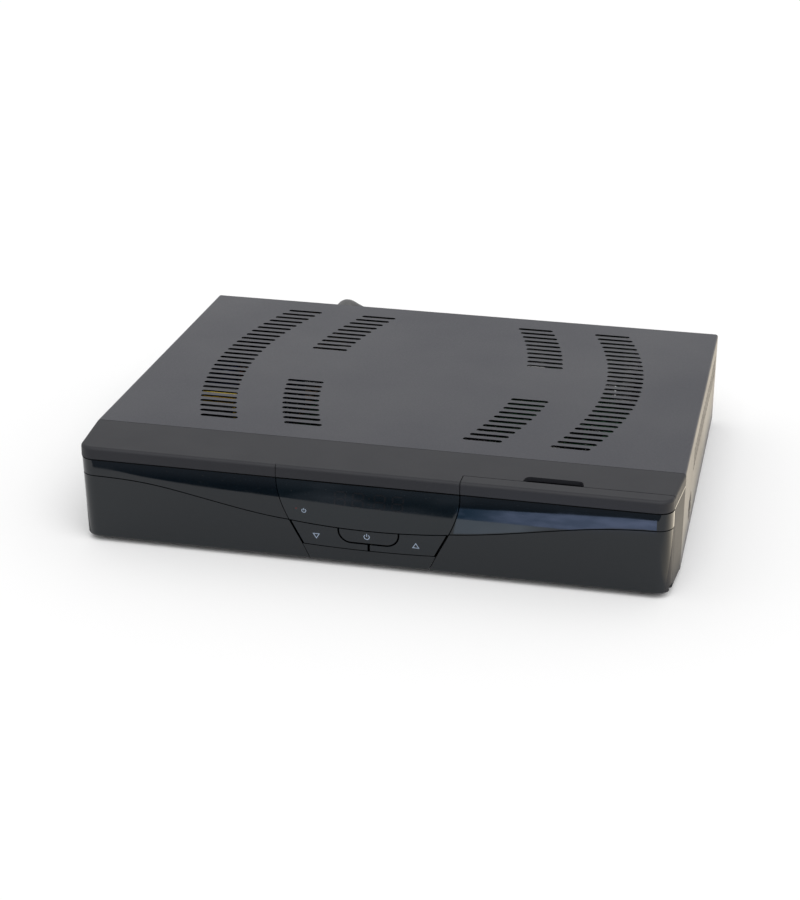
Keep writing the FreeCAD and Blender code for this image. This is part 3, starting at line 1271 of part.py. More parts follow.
# Route of the lead as x, y and height: out of the strain relief, down and round on to the coil.
LEAD_ROUTE = [
    (lead_x, rear + 21, lead_z),
    (lead_x, rear + 40, lead_z),
    (lead_x, rear + 56, lead_z - 1.5),
    (lead_x + 4, rear + 71, lead_z - 11),
    (lead_x + 14, rear + 82, 4 * s.leadRadius + 1),
    (lead_x + 31, rear + 88, 3 * s.leadRadius),
    (lead_x + 52, rear + 88, 3 * s.leadRadius),
]
# Route of its tail as x, y and height: from under the coil to the plug.
TAIL_ROUTE = [
    (lead_x + 63, rear + 82.4, s.leadRadius),
    (lead_x + 78.5, rear + 73.4, s.leadRadius),
    (lead_x + 89.6, rear + 69.3, s.plugHeight / 2),
    (lead_x + 99.3, rear + 66.2, s.plugHeight / 2),
]


def make_lead():
    """The two stretches of lead that are not coiled, and the coil's own outer form."""
    lead = rounded_path(LEAD_ROUTE, "lead")
    tail = rounded_path(TAIL_ROUTE, "tail")
    section = math.pi * float(s.leadRadius) ** 2
    for label, path in (("mains_lead", lead), ("mains_tail", tail)):
        solid = tube(path, s.leadRadius)
        print("%s length %.1f mm, volume against section times length %.4f" % (
            label, path.Length, solid.Volume / (section * path.Length)))
        node(label, feature(label, solid))
    centre = vec(lead_x + s.coilAside, rear + s.coilBehind, 0)
    outer = s.coilTurn + 3 * s.leadRadius
    inner = s.coilTurn - 3 * s.leadRadius
    height = 4 * s.leadRadius
    ring = Part.makeCylinder(float(outer), float(height), centre)
    ring = ring.cut(Part.makeCylinder(float(inner), float(height), centre))
    for path in (lead, tail):
        ring = ring.cut(tube(path, s.leadRadius + 0.5))
    wall = s.tieThickness
    bearing = Placement(centre, Rotation(Vector(0, 0, 1), -float(s.tieBearing)))

    def across(low, high, floor, ceiling):
        box = Part.makeBox(float(s.tieWidth), float(high - low), float(ceiling - floor),
                           vec(-s.tieWidth / 2, low, floor))
        box.Placement = bearing.multiply(box.Placement)
        return box

    band = across(inner - wall - 0.6, outer + wall, size_of(0), height + wall)
    ring = ring.cut(across(inner - 2, outer + 2, size_of(-1), wall))
    band = band.cut(across(inner - 0.6, outer, wall, height))
    node("lead_coil", feature("lead_coil", largest(ring)))
    node("lead_tie", feature("lead_tie", band))


def largest(shape):
    """The biggest solid of a shape, without slivers that a cut leaves."""
    return sorted(shape.Solids, key=lambda solid: solid.Volume)[-1]


def make_relief():
    """The moulded sleeve that grips the lead at the panel and tapers along it."""
    neck, collar = s.rearWall, s.reliefCollarLength
    sleeve = turned("relief", [(0, -neck - collar), (s.reliefCollar, -neck - collar), (s.reliefCollar, -neck),
                               (s.reliefNeck, -neck), (s.reliefNeck, 0), (s.reliefFlange, 0),
                               (s.reliefFlange, s.reliefFlangeWall), (s.reliefRoot, s.reliefFlangeWall),
                               (s.reliefTip, s.reliefLength), (0, s.reliefLength)])
    copies("strain_relief", sleeve, [facing(Vector(0, 1, 0), lead_x, panel_out, lead_z)])


def make_plug():
    """A flat two-pin plug that lies on the table beyond the coil."""
    end, before = vec(*TAIL_ROUTE[-1]), vec(*TAIL_ROUTE[-2])
    heading = Vector(end.x - before.x, end.y - before.y, 0)
    turn = Placement(end, Rotation(Vector(1, 0, 0), heading))
    wide, neck, long = s.plugWidth / 2, s.plugNeck / 2, s.plugLength
    tall = s.plugHeight / 2
    body = prism([(0, -neck, -tall), (long - 14, -wide + 3, -tall), (long - 11, -wide, -tall),
                  (long, -wide + 4, -tall), (long, wide - 4, -tall), (long - 11, wide, -tall),
                  (long - 14, wide - 3, -tall), (0, neck, -tall)], (0, 0, s.plugHeight))
    edges = [edge for edge in body.Edges if edge.BoundBox.ZLength < 0.01]
    body = body.makeChamfer(1.6, edges)
    node("mains_plug", feature("mains_plug", body, turn))
    pins = []
    for side in (-1, 1):
        y = side * s.plugPinSpacing / 2
        pin = Part.makeCylinder(float(s.plugPinRadius), float(s.plugPinLength), vec(long, y, 0),
                                Vector(1, 0, 0))
        tip = [edge for edge in pin.Edges if edge.BoundBox.XMin > float(long + s.plugPinLength) - 0.01]
        pins.append(pin.makeFillet(1.2, tip))
    node("plug_pins", feature("plug_pins", Part.makeCompound(pins), turn))


# ---- everything together ----

def make_receiver():
    shell = make_front()
    make_bezel(shell)
    make_door(shell)
    make_trims()
    make_panel(shell)
    make_lens(shell)
    make_buttons()
    make_hinge_pins()
    make_catch()
    make_cover()
    make_tray()
    make_rear_panel()
    make_feet()
    make_cover_screws()
    make_boards()
    make_front_board()
    make_supply()
    make_main_parts()
    make_tuner()
    make_sockets()
    make_phono()
    make_scart()
    make_mains_switch()
    make_relief()
    make_lead()
    make_plug()


def check_and_write():
    """Stop on any failed object or shape, then write one file for each node."""
    doc.recompute()
    failed = [item.Name for item in doc.Objects if "Invalid" in item.State or "Error" in item.State]
    if failed:
        raise RuntimeError("failed objects: " + ", ".join(failed))
    for label, item in nodes.items():
        shape = item.Shape
        if shape.isNull() or not shape.isValid() or not shape.Solids:
            raise RuntimeError("bad shape: " + label)
        box = shape.BoundBox
        bounds = (box.XMin, box.XMax, box.YMin, box.YMax, box.ZMin, box.ZMax)
        print("%-18s %2d solids %9.1f mm3  x %.1f %.1f  y %.1f %.1f  z %.1f %.1f" % (
            (label, len(shape.Solids), shape.Volume) + bounds))
    os.makedirs("parts", exist_ok=True)
    for label, item in nodes.items():
        item.Shape.exportStep("parts/%s.step" % label)
    print("%d nodes written" % len(nodes))


make_receiver()
check_and_write()
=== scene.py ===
import math

import bmesh
import bpy
from mathutils import Matrix, Vector


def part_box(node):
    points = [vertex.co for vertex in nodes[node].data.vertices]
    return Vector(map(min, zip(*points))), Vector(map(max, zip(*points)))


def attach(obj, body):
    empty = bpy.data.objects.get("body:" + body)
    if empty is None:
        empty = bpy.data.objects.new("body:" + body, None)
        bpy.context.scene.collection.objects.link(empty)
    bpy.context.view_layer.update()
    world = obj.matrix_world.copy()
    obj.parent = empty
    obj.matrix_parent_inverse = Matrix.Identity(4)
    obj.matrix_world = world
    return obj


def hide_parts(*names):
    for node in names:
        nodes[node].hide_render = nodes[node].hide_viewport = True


mm = 0.001                                       # everything below is thought out in millimetres

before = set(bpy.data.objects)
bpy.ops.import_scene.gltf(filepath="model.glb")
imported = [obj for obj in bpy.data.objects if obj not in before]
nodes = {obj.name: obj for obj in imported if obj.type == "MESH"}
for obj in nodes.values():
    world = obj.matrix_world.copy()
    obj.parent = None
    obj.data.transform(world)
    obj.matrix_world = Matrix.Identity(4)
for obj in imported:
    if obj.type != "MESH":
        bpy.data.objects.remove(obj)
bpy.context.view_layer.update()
print("frame loaded:", len(nodes), "nodes")


# Planes of the casing that several pieces refer to, and how the face of its front stands back and leans.
casing = {
    "rear": 110.9, "front": -120.4, "bottom": 2.5, "top": 50.5, "lipLow": 44.7, "grooveLow": 43.8,
    "panelOut": 110.1, "boardTop": 10.9, "faceBack": 0.6, "lean": 5.5,
}
rear, top, bottom = casing["rear"], casing["top"], casing["bottom"]
panelOut, boardTop = casing["panelOut"], casing["boardTop"]
sideways, rearward, upward = (1, 0, 0), (0, 1, 0), (0, 0, 1)


def fasciaY(z):                                  # where the leaning front face stands at a height
    share = (casing["lipLow"] - z) / (casing["lipLow"] - bottom)
    return casing["front"] + casing["faceBack"] + casing["lean"] * share


def linked(name, data):                          # a new object in the scene
    thing = bpy.data.objects.new(name, data)
    bpy.context.scene.collection.objects.link(thing)
    return thing


camera = {"spot": (190.668, -940.012, 408.4), "azimuth": 12.084, "elevation": 22.364, "roll": 0.66,
          "lens": 81.51, "film": 36, "nearest": 0.05}


def placeCamera():
    az, el, roll = (math.radians(camera[word]) for word in ("azimuth", "elevation", "roll"))
    back = Vector((math.sin(az) * math.cos(el), -math.cos(az) * math.cos(el), math.sin(el)))
    right = (-back).cross(Vector(upward)).normalized()
    up = right.cross(-back)
    across = math.cos(roll) * right + math.sin(roll) * up
    upright = -math.sin(roll) * right + math.cos(roll) * up
    turn = Matrix((across, upright, back)).transposed().to_4x4()
    eye = linked("viewCamera", bpy.data.cameras.new("viewCamera"))
    eye.data.lens = camera["lens"]
    eye.data.sensor_width = camera["film"]
    eye.data.clip_start = camera["nearest"]
    eye.matrix_world = Matrix.Translation(Vector(camera["spot"]) * mm) @ turn
    bpy.context.scene.camera = eye


placeCamera()
finishes = {}


class Wire:                                      # one output socket that sums and scales like a number
    def __init__(self, web, node, output=0):
        self.web = web
        self.node = node
        self.socket = node.outputs[output]

    def out(self, output):
        return Wire(self.web, self.node, output)

    def calc(self, operation, first, second):
        return self.web.add("ShaderNodeMath", {"operation": operation}, {0: first, 1: second})

    def __add__(self, other):
        return self.calc("ADD", self, other)

    def __radd__(self, other):
        return self.calc("ADD", other, self)

    def __sub__(self, other):
        return self.calc("SUBTRACT", self, other)

    def __rsub__(self, other):
        return self.calc("SUBTRACT", other, self)

    def __mul__(self, other):
        return self.calc("MULTIPLY", self, other)

    def __rmul__(self, other):
        return self.calc("MULTIPLY", other, self)

    def __gt__(self, other):
        return self.calc("GREATER_THAN", self, other)

    def __lt__(self, other):
        return self.calc("LESS_THAN", self, other)

    def orElse(self, other):                     # the larger of two masks
        return self.calc("MAXIMUM", self, other)


class Web:                                       # a tree of nodes that all come from one method
    def __init__(self, tree):
        self.tree = tree

    def add(self, kind, settings=None, values=None):
        node = self.tree.nodes.new(kind)
        for word, value in (settings or {}).items():
            setattr(node, word, value)
        for socket, value in (values or {}).items():
            self.plug(node.inputs[socket], value)
        return Wire(self, node)

    def plug(self, socket, value):
        if isinstance(value, Wire):
            self.tree.links.new(value.socket, socket)
        else:
            socket.default_value = value

    def whiteWhenSeen(self, plain):              # 1 for the eye, a mirror and clear plastic, else plain
        path = self.add("ShaderNodeLightPath")
        seen = path.orElse(path.out("Is Glossy Ray")).orElse(path.out("Is Transmission Ray"))
        return seen * (1.0 - plain) + plain


class Finish(Web):                               # a material and what feeds its shader
    def __init__(self, name, colour, roughness, metallic=0.0, **plain):
        self.material = finishes[name] = bpy.data.materials.new(name)
        self.material.use_nodes = True
        super().__init__(self.material.node_tree)
        self.shader = self.tree.nodes["Principled BSDF"]
        self.feed("Base Color", (*colour, 1.0))
        self.feed("Roughness", roughness)
        self.feed("Metallic", metallic)
        for word, value in plain.items():        # what is the same all over
            self.feed(word.replace("_", " "), value)
        self.place = self.add("ShaderNodeTexCoord").out("Object")

    def feed(self, socket, value):
        self.plug(self.shader.inputs[socket], value)

    def axis(self, letter):
        return self.add("ShaderNodeSeparateXYZ", None, {0: self.place}).out(letter)

    def noise(self, scale, detail=2.0, stretch=None):
        where = self.place
        if stretch:
            where = self.add("ShaderNodeVectorMath", {"operation": "MULTIPLY"}, {0: where, 1: stretch})
        return self.add("ShaderNodeTexNoise", None, {"Vector": where, "Scale": scale, "Detail": detail})

    def mix(self, share, first, second):         # two colours, by a share
        first = first if isinstance(first, Wire) else (*first, 1.0)
        second = second if isinstance(second, Wire) else (*second, 1.0)
        node = self.add("ShaderNodeMix", {"data_type": "RGBA"}, {0: share, 6: first, 7: second})
        return node.out(2)

    def clamp(self, value, low, high, start=0.0, end=1.0):
        return self.add("ShaderNodeMapRange", None, {0: value, 1: low, 2: high, 3: start, 4: end})

    def mottled(self, patches, colour, dark, light):     # a colour that drifts a little over the surface
        return self.mix(self.clamp(patches, 0.3, 0.7), darker(colour, dark), darker(colour, light))

    def bump(self, height, strength, distance):
        values = {"Height": height, "Strength": strength, "Distance": distance}
        self.feed("Normal", self.add("ShaderNodeBump", None, values))


def darker(colour, share):
    return tuple(part * share for part in colour)


def grained(name, colour, roughness, grain, depth, **plain):     # moulded, woven or printed
    made = Finish(name, colour, roughness, **plain)
    fine, wide = made.noise(grain, 3.0), made.noise(60, 3.0)
    made.feed("Base Color", made.mottled(wide, colour, 0.86, 1.12))
    made.feed("Roughness", made.clamp(fine + wide, 0.7, 1.3, roughness - 0.06, roughness + 0.06))
    made.bump(fine, 0.5, depth)


def sheetMetal(name, colour, roughness, stretch, grain):         # brushed or rolled along one way
    made = Finish(name, colour, roughness, metallic=1.0)
    brushed, bloom = made.noise(grain, 3.0, stretch), made.noise(35, 3.0)
    made.feed("Base Color", made.mottled(bloom, colour, 0.8, 1.0))
    made.feed("Roughness", made.clamp(brushed + bloom, 0.6, 1.4, roughness - 0.1, roughness + 0.14))
    made.bump(brushed, 0.25, 0.00004)


shine = 0.42                                     # how strongly the moulded gloss mirrors
# painted shade for the gaps: a near-black colour, with the walls made metallic as a dark mirror
gap = {"start": 0.12, "end": 2.1, "half": 131.0, "paintedShade": (0.0008, 0.0008, 0.0009)}


def paintedGapShadeMask(made):                              # where shade is painted: what lies a little way in behind the leaning face
    height, depth, across = made.axis(2), made.axis(1), made.axis(0)
    lean = casing["lean"] / (casing["lipLow"] - bottom)
    face = casing["front"] + casing["faceBack"] + lean * casing["lipLow"]
    inward = depth + height * lean - face * mm
    low = height < (casing["grooveLow"] - 0.1) * mm
    between = across * across < (gap["half"] * mm) ** 2
    return (inward > gap["start"] * mm) * (inward < gap["end"] * mm) * between * low


def polished(name, colour, roughness):           # piano gloss with a film and specks of dust, and painted shade in its gaps
    made = Finish(name, colour, roughness, Specular_IOR_Level=shine)
    film = made.clamp(made.noise(45, 4.0), 0.45, 0.75)
    specks = made.noise(2100, 2.0) > 0.74
    walls = paintedGapShadeMask(made)
    base = made.mix(specks * 0.25, colour, (0.16, 0.155, 0.15))
    # painted shade: the walls of the gaps are near black and metallic, so they mirror almost nothing
    made.feed("Base Color", made.mix(walls, base, gap["paintedShade"]))
    made.feed("Metallic", walls)
    made.feed("Roughness", film * 0.05 + specks * 0.25 + roughness)
    made.bump(made.noise(90, 1.0), 0.06, 0.0002)


coverPaint = {"colour": (0.0105, 0.0115, 0.02), "roughness": 0.4, "shine": 0.385, "grain": 1500,
              "fleck": (0.2, 0.2, 0.2), "sheet": 2.0, "half": 137.5}


def makeCoverPaint():
    look, rough = coverPaint, coverPaint["roughness"]
    made = Finish("coverPaint", look["colour"], rough, Specular_IOR_Level=look["shine"])
    peel, patch = made.noise(look["grain"], 2.0), made.noise(14, 3.0)
    fleck = made.noise(5200, 1.0) > 0.7
    base = made.mix(fleck * 0.12, made.mottled(patch, look["colour"], 0.93, 1.07), look["fleck"])
    height, across = made.axis(2), made.axis(0)
    # the punched edges of the vents and the inside of the sheet, where shade is painted
    inner = (height < (top - 0.05) * mm) * (height > (top - look["sheet"]) * mm) * (
        across * across < (look["half"] * mm) ** 2)
    made.feed("Base Color", made.mix(inner, base, gap["paintedShade"]))  # painted shade: the punched edges and the inside are bare metal, painted near black
    made.feed("Metallic", inner)
    made.feed("Roughness", made.clamp(peel + patch, 0.7, 1.3, rough - 0.05, rough + 0.05))
    made.bump(peel, 0.35, 0.00005)


frontPlastic = {"satin": (0.008, 0.0085, 0.012), "gloss": (0.0015, 0.004, 0.007), "satinRough": 0.6,
                "glossRough": 0.06, "speck": (0.2, 0.2, 0.2), "inside": 7.4, "under": 6.5}


def makeFrontPlastic():
    look, gloss, rough = frontPlastic, frontPlastic["gloss"], frontPlastic["glossRough"]
    made = Finish("frontPlastic", gloss, rough, Specular_IOR_Level=shine)
    height, depth = made.axis(2), made.axis(1)
    strip = height > (casing["lipLow"] - 0.2) * mm                # the satin strip on top and its lip
    inside = depth > (casing["front"] + look["inside"]) * mm      # walls behind the flap are left dull
    dull = strip.orElse(inside * (height < (top - look["under"]) * mm))
    grain = made.noise(1900, 2.0)
    film = made.clamp(made.noise(40, 3.0), 0.4, 0.7)
    specks = made.noise(1700, 2.0) > 0.76
    base = made.mix(dull, made.mix(specks * 0.12, gloss, look["speck"]), look["satin"])
    walls = paintedGapShadeMask(made)
    # painted shade: the walls of the gaps are near black and metallic, so they mirror almost nothing
    made.feed("Base Color", made.mix(walls, base, gap["paintedShade"]))
    made.feed("Metallic", walls)
    made.feed("Roughness", dull * (look["satinRough"] - rough) + rough + film * 0.03 + specks * 0.1)
    made.bump(grain * dull, 0.3, 0.00004)


def makeBoardFinish(name, mask, bare, silk):
    made = Finish(name, mask, 0.32)
    tracks = made.add("ShaderNodeTexBrick", {"offset": 0.37, "squash": 1.0}, {
        "Vector": made.place, "Color1": (*mask, 1.0), "Color2": (*darker(mask, 0.8), 1.0),
        "Mortar": (*bare, 1.0), "Scale": 260.0, "Mortar Size": 0.035, "Mortar Smooth": 0.1,
        "Brick Width": 0.9, "Row Height": 0.35})
    pads = made.add("ShaderNodeTexVoronoi", {"feature": "F1"}, {"Vector": made.place, "Scale": 210.0})
    vias = pads.out("Distance") < 0.13
    marks = made.noise(320, 0.0) > 0.7
    colour = made.mix(vias, tracks, (0.62, 0.6, 0.52))
    made.feed("Base Color", made.mix(marks * 0.35, colour, silk))
    made.feed("Roughness", made.clamp(made.noise(90, 2.0), 0.3, 0.7, 0.25, 0.42))
    made.bump(tracks.out("Fac"), 0.3, 0.00003)


tape = {"colour": (0.72, 0.5, 0.04), "low": (0.62, 0.4, 0.02), "high": (0.8, 0.58, 0.06), "roughness": 0.38}


def makeTapeFinish():
    made = Finish("yellowTape", tape["colour"], tape["roughness"])
    wraps = made.add("ShaderNodeTexWave", {"wave_type": "BANDS", "bands_direction": "Z"}, {
        "Vector": made.place, "Scale": 90.0, "Distortion": 1.5, "Detail": 2.0})
    folds = made.noise(160, 3.0, (0.4, 3, 1))
    made.feed("Base Color", made.mix(made.clamp(wraps + folds, 0.6, 1.4), tape["low"], tape["high"]))
    made.feed("Roughness", made.clamp(folds, 0.3, 0.7, tape["roughness"] - 0.1, tape["roughness"] + 0.1))
    made.bump(wraps + folds, 0.3, 0.00008)


capSleeve = {"colour": (0.02, 0.03, 0.09), "stripe": (0.45, 0.46, 0.48), "roughness": 0.25, "level": 18.4}


def makeSleeveFinish():                          # shrink sleeve of a capacitor, a touch duller near its top
    made = Finish("capSleeve", capSleeve["colour"], capSleeve["roughness"])
    level = made.clamp(made.axis(2), capSleeve["level"] * mm, (capSleeve["level"] + 0.1) * mm)
    stripe = made.noise(120, 1.0, (1, 1, 0.02)) > 0.63
    made.feed("Base Color", made.mix(stripe, capSleeve["colour"], capSleeve["stripe"]))
    made.feed("Roughness", made.clamp(made.noise(60, 2.0), 0.3, 0.7, 0.2, 0.34) + level * 0.02)
    made.bump(made.noise(500, 2.0), 0.1, 0.00003)


# Colour and roughness of each gloss. The metals add the stretch and scale of their grain.
glosses = {
    "pianoBlack": ((0.0015, 0.004, 0.007), 0.035), "smokedWindow": ((0.003, 0.0065, 0.01), 0.04),
    "buttonBlack": ((0.0015, 0.0045, 0.008), 0.07),
}
metals = {
    "zincSheet": ((0.62, 0.63, 0.65), 0.34, (1, 30, 30), 700),
    "zincScrew": ((0.55, 0.56, 0.58), 0.3, (8, 8, 8), 900),
    "rolledAlu": ((0.74, 0.75, 0.77), 0.36, (30, 1, 1), 600),
    "tinPlate": ((0.72, 0.72, 0.7), 0.24, (6, 6, 6), 300),
    "nickelPlate": ((0.7, 0.68, 0.62), 0.18, (5, 5, 5), 500),
    "goldPlate": ((0.83, 0.62, 0.24), 0.2, (5, 5, 5), 500),
    "groundSteel": ((0.66, 0.66, 0.68), 0.22, (40, 2, 2), 700),
    "copperWire": ((0.62, 0.27, 0.12), 0.3, (8, 8, 8), 900),
}
# Colour, roughness, and the scale and depth of the grain.
grains = {
    "blackOxide": ((0.03, 0.03, 0.032), 0.4, 1800, 0.00003),
    "footRubber": ((0.022, 0.022, 0.023), 0.78, 1500, 0.00008),
    "greySheet": ((0.1, 0.1, 0.105), 0.55, 900, 0.00003),
    "blackMould": ((0.018, 0.018, 0.02), 0.42, 2200, 0.00004),
    "chipMould": ((0.016, 0.016, 0.018), 0.5, 3000, 0.00003),
    "ferriteGrey": ((0.05, 0.05, 0.056), 0.5, 1500, 0.00006),
    "whiteRibbon": ((0.66, 0.66, 0.64), 0.45, 700, 0.00004),
    "glassTube": ((0.62, 0.68, 0.68), 0.12, 600, 0.00001),
    "leadSheath": ((0.02, 0.02, 0.021), 0.43, 1300, 0.00005),
    "plugMould": ((0.024, 0.024, 0.026), 0.5, 1700, 0.00005),
    "redLamp": ((0.5, 0.02, 0.015), 0.15, 500, 0.00001),
    "unlitRed": ((0.045, 0.004, 0.004), 0.1, 500, 0.00001),
    "darkEye": ((0.03, 0.004, 0.012), 0.12, 500, 0.00001),
    "whiteMould": ((0.7, 0.7, 0.68), 0.38, 1500, 0.00003),
    "redMould": ((0.5, 0.02, 0.015), 0.38, 1500, 0.00003),
    "yellowMould": ((0.7, 0.45, 0.03), 0.38, 1500, 0.00003),
    "palePrint": ((0.27, 0.33, 0.43), 0.5, 2500, 0.00001),
    "wovenStrap": ((0.016, 0.016, 0.018), 0.85, 1100, 0.0001),
    "greenPart": ((0.12, 0.3, 0.2), 0.4, 900, 0.00003),
    "tanPart": ((0.45, 0.33, 0.2), 0.45, 900, 0.00003),
    "blueDisc": ((0.03, 0.12, 0.38), 0.35, 900, 0.00003),
}


def makeFinishes():
    makeCoverPaint()
    makeFrontPlastic()
    for make, looks in ((polished, glosses), (sheetMetal, metals), (grained, grains)):
        for name, look in looks.items():
            make(name, *look)
    grained("dimDigit", (0.0075, 0.0085, 0.011), 0.05, 900, 0.00001, Specular_IOR_Level=shine)
    makeBoardFinish("greenBoard", (0.02, 0.12, 0.05), (0.05, 0.2, 0.08), (0.7, 0.72, 0.7))
    makeBoardFinish("brownBoard", (0.26, 0.15, 0.06), (0.34, 0.21, 0.1), (0.8, 0.78, 0.7))
    makeTapeFinish()
    makeSleeveFinish()
    print("finishes made:", len(finishes))


makeFinishes()

wornBy = {
    "frontPlastic": ("front_bezel", "front_door", "centre_panel"),
    "pianoBlack": ("left_trim", "door_trim"),
    "smokedWindow": ("display_lens",),
    "buttonBlack": ("power_button", "down_button", "up_button"),
    "groundSteel": ("hinge_pins",),
    "blackMould": ("door_catch", "tact_switches", "display_module", "card_reader", "optical_socket",
                   "phono_sockets", "scart_socket", "mains_switch", "mains_rocker", "lead_tie"),
    "coverPaint": ("top_cover",),
    "zincSheet": ("base_chassis", "rear_panel"),
    "footRubber": ("rubber_feet",),
    "blackOxide": ("cover_screws",),
    "zincScrew": ("panel_screws", "board_screws"),
    "nickelPlate": ("board_standoffs", "aerial_sockets", "aerial_nuts", "plug_pins"),
    "greySheet": ("insulating_sheet",),
    "greenBoard": ("main_board", "front_board"),
    "brownBoard": ("psu_board",),
    "darkEye": ("ir_receiver",),
    "redLamp": ("standby_led",),
    "whiteRibbon": ("ribbon_cable", "supply_harness"),
    "ferriteGrey": ("transformer_core", "line_choke"),
    "yellowTape": ("transformer_coil",),
    "capSleeve": ("bulk_capacitor", "output_capacitors", "board_capacitors"),
    "rolledAlu": ("psu_heatsink", "chip_heatsink"),
    "glassTube": ("mains_fuse",),
    "chipMould": ("decoder_chip", "memory_chips"),
    "tinPlate": ("module_cage", "tuner_can", "usb_socket", "hdmi_socket", "ethernet_socket"),
    "plugMould": ("strain_relief", "mains_plug"),
    "leadSheath": ("mains_lead", "mains_tail", "lead_coil"),
}
for finishName, wearers in wornBy.items():
    for wearer in wearers:
        mesh = nodes[wearer].data
        mesh.materials.clear()
        mesh.materials.append(finishes[finishName])
        for face in mesh.polygons:
            face.material_index = 0


class Shape:                                     # a mesh in the making, in millimetres
    def __init__(self):
        self.mesh = bmesh.new()

    def ringOf(self, points):
        return [self.mesh.verts.new(point) for point in points]

    def box(self, low, high, bevel=0.0, segments=2):
        v = self.ringOf([(x, y, z) for x in (low[0], high[0]) for y in (low[1], high[1])
                         for z in (low[2], high[2])])
        faces = [self.mesh.faces.new([v[i] for i in loop]) for loop in (
            (0, 1, 3, 2), (4, 6, 7, 5), (0, 4, 5, 1), (2, 3, 7, 6), (0, 2, 6, 4), (1, 5, 7, 3))]
        if bevel:
            edges = list({edge for face in faces for edge in face.edges})
            bmesh.ops.bevel(self.mesh, geom=edges, offset=bevel, segments=segments, affect="EDGES",
                            profile=0.6)
        return self

    def block(self, x, y, wide, long, low, high, bevel=0.0, segments=2):    # a box round an upright axis
        return self.box((x - wide / 2, y - long / 2, low), (x + wide / 2, y + long / 2, high), bevel,
                        segments)

    def loft(self, rings, closed=True, looped=False):    # rings of equal count, joined side by side
        made = [self.ringOf(ring) for ring in rings]
        count = len(made[0])
        if looped:
            made.append(made[0])
            closed = False
        for first, second in zip(made, made[1:]):
            for index in range(count):
                after = (index + 1) % count
                self.mesh.faces.new((first[index], first[after], second[after], second[index]))
        if closed:
            self.mesh.faces.new(list(reversed(made[0])))
            self.mesh.faces.new(made[-1])
        return self

    def turned(self, profile, place, axis, steps=32):    # pairs of radius and height, spun round an axis
        turn = Vector(upward).rotation_difference(Vector(axis)).to_matrix()
        angles = [2 * math.pi * step / steps for step in range(steps)]
        rings = []
        for radius, along in profile:
            reaches = [radius(angle) if callable(radius) else radius for angle in angles]
            spots = [(reach * math.cos(angle), reach * math.sin(angle), along)
                     for reach, angle in zip(reaches, angles)]
            rings.append([Vector(place) + turn @ Vector(spot) for spot in spots])
        return self.loft(rings)

    def prism(self, outline, low, high, plane="xz"):     # a flat outline, drawn out along y or x
        return self.loft([[(a, level, b) if plane == "xz" else (level, a, b) for a, b in outline]
                          for level in (low, high)])

    def patch(self, outline):                    # one flat face
        self.mesh.faces.new(self.ringOf(outline))
        return self

    def strip(self, left, right):                # a ribbon between two rows of points
        first, second = self.ringOf(left), self.ringOf(right)
        for index in range(len(left) - 1):
            self.mesh.faces.new((first[index], first[index + 1], second[index + 1], second[index]))

    def done(self, name, finish, slot, replaced=(), body="receiver", smooth=35.0):
        bmesh.ops.recalc_face_normals(self.mesh, faces=self.mesh.faces[:])
        limit = math.radians(smooth)
        for face in self.mesh.faces:
            face.smooth = True
        for edge in self.mesh.edges:
            edge.smooth = len(edge.link_faces) == 2 and edge.calc_face_angle(0.0) < limit
        bmesh.ops.scale(self.mesh, vec=(mm, mm, mm), verts=self.mesh.verts[:])
        data = bpy.data.meshes.new(name)
        self.mesh.to_mesh(data)
        self.mesh.free()
        data.materials.append(finishes[finish])
        piece = linked(name, data)
        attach(piece, body)
        if replaced:
            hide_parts(*replaced)
        return piece


# The mains lead leaves at the rear and is wound up behind the receiver.
lead = {"x": -79.0, "z": 34, "radius": 3.5, "coil": (-37.0, rear + 46), "outer": 42.0, "step": 7.0,
        "start": 10, "layers": (10.5, 3.5), "pointsPerTurn": 14, "turns": 5, "length": 1.27}
leadRoute = [(-79, rear + 21, 34), (-79, rear + 40, 34), (-79, rear + 56, 32.5), (-75, rear + 71, 23),
             (-65, rear + 82, 15), (-48, rear + 88, 10.5), (-27, rear + 88, 10.5)]
tailRoute = [(-16, rear + 82.4, 3.5), (-0.5, rear + 73.4, 3.5), (10.6, rear + 69.3, 6.85),
             (20.3, rear + 66.2, 6.85)]


def eased(value, start, end):
    share = min(max((value - start) / (end - start), 0.0), 1.0)
    return share * share * (3 - 2 * share)


def coilPoint(turn):                             # inwards in the upper layer, down, and out in the lower
    outer, step = lead["outer"], lead["step"]    # each turn closes by moving over to the next one
    radius = outer - step * (eased(turn, 0.75, 0.95) + eased(turn, 1.75, 1.95))
    radius += step * (eased(turn, 3.1, 3.3) + eased(turn, 4.1, 4.3))
    high, low = lead["layers"]
    z = high - (high - low) * eased(turn, 2.75, 2.95)
    bearing = math.atan2(lead["start"], outer) + 2 * math.pi * turn
    radius /= math.cos(math.pi / lead["pointsPerTurn"])
    x, y = lead["coil"]
    return (x + radius * math.sin(bearing), y + radius * math.cos(bearing), z)


def makeLead():
    count = lead["pointsPerTurn"] * lead["turns"]
    wound = [coilPoint(index / lead["pointsPerTurn"]) for index in range(1, count)]
    route = leadRoute + wound + tailRoute
    curve = bpy.data.curves.new("mainsLead", "CURVE")
    curve.dimensions = "3D"
    curve.bevel_depth = lead["radius"] * mm
    curve.bevel_resolution = 5
    curve.resolution_u = 6
    curve.use_fill_caps = True
    spline = curve.splines.new("NURBS")
    spline.points.add(len(route) - 1)
    for point, place in zip(spline.points, route):
        point.co = (*(Vector(place) * mm), 1.0)
    spline.order_u = 3
    spline.use_endpoint_u = True
    curve.materials.append(finishes["leadSheath"])
    piece = linked("mainsLead", curve)
    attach(piece, "receiver")
    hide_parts("mains_lead", "mains_tail", "lead_coil")
    return piece


sleeve = {"root": 6.4, "tip": 4.5, "length": 21.6, "flange": 7.9, "wall": 2.0, "ribs": 7, "bore": 3.4}


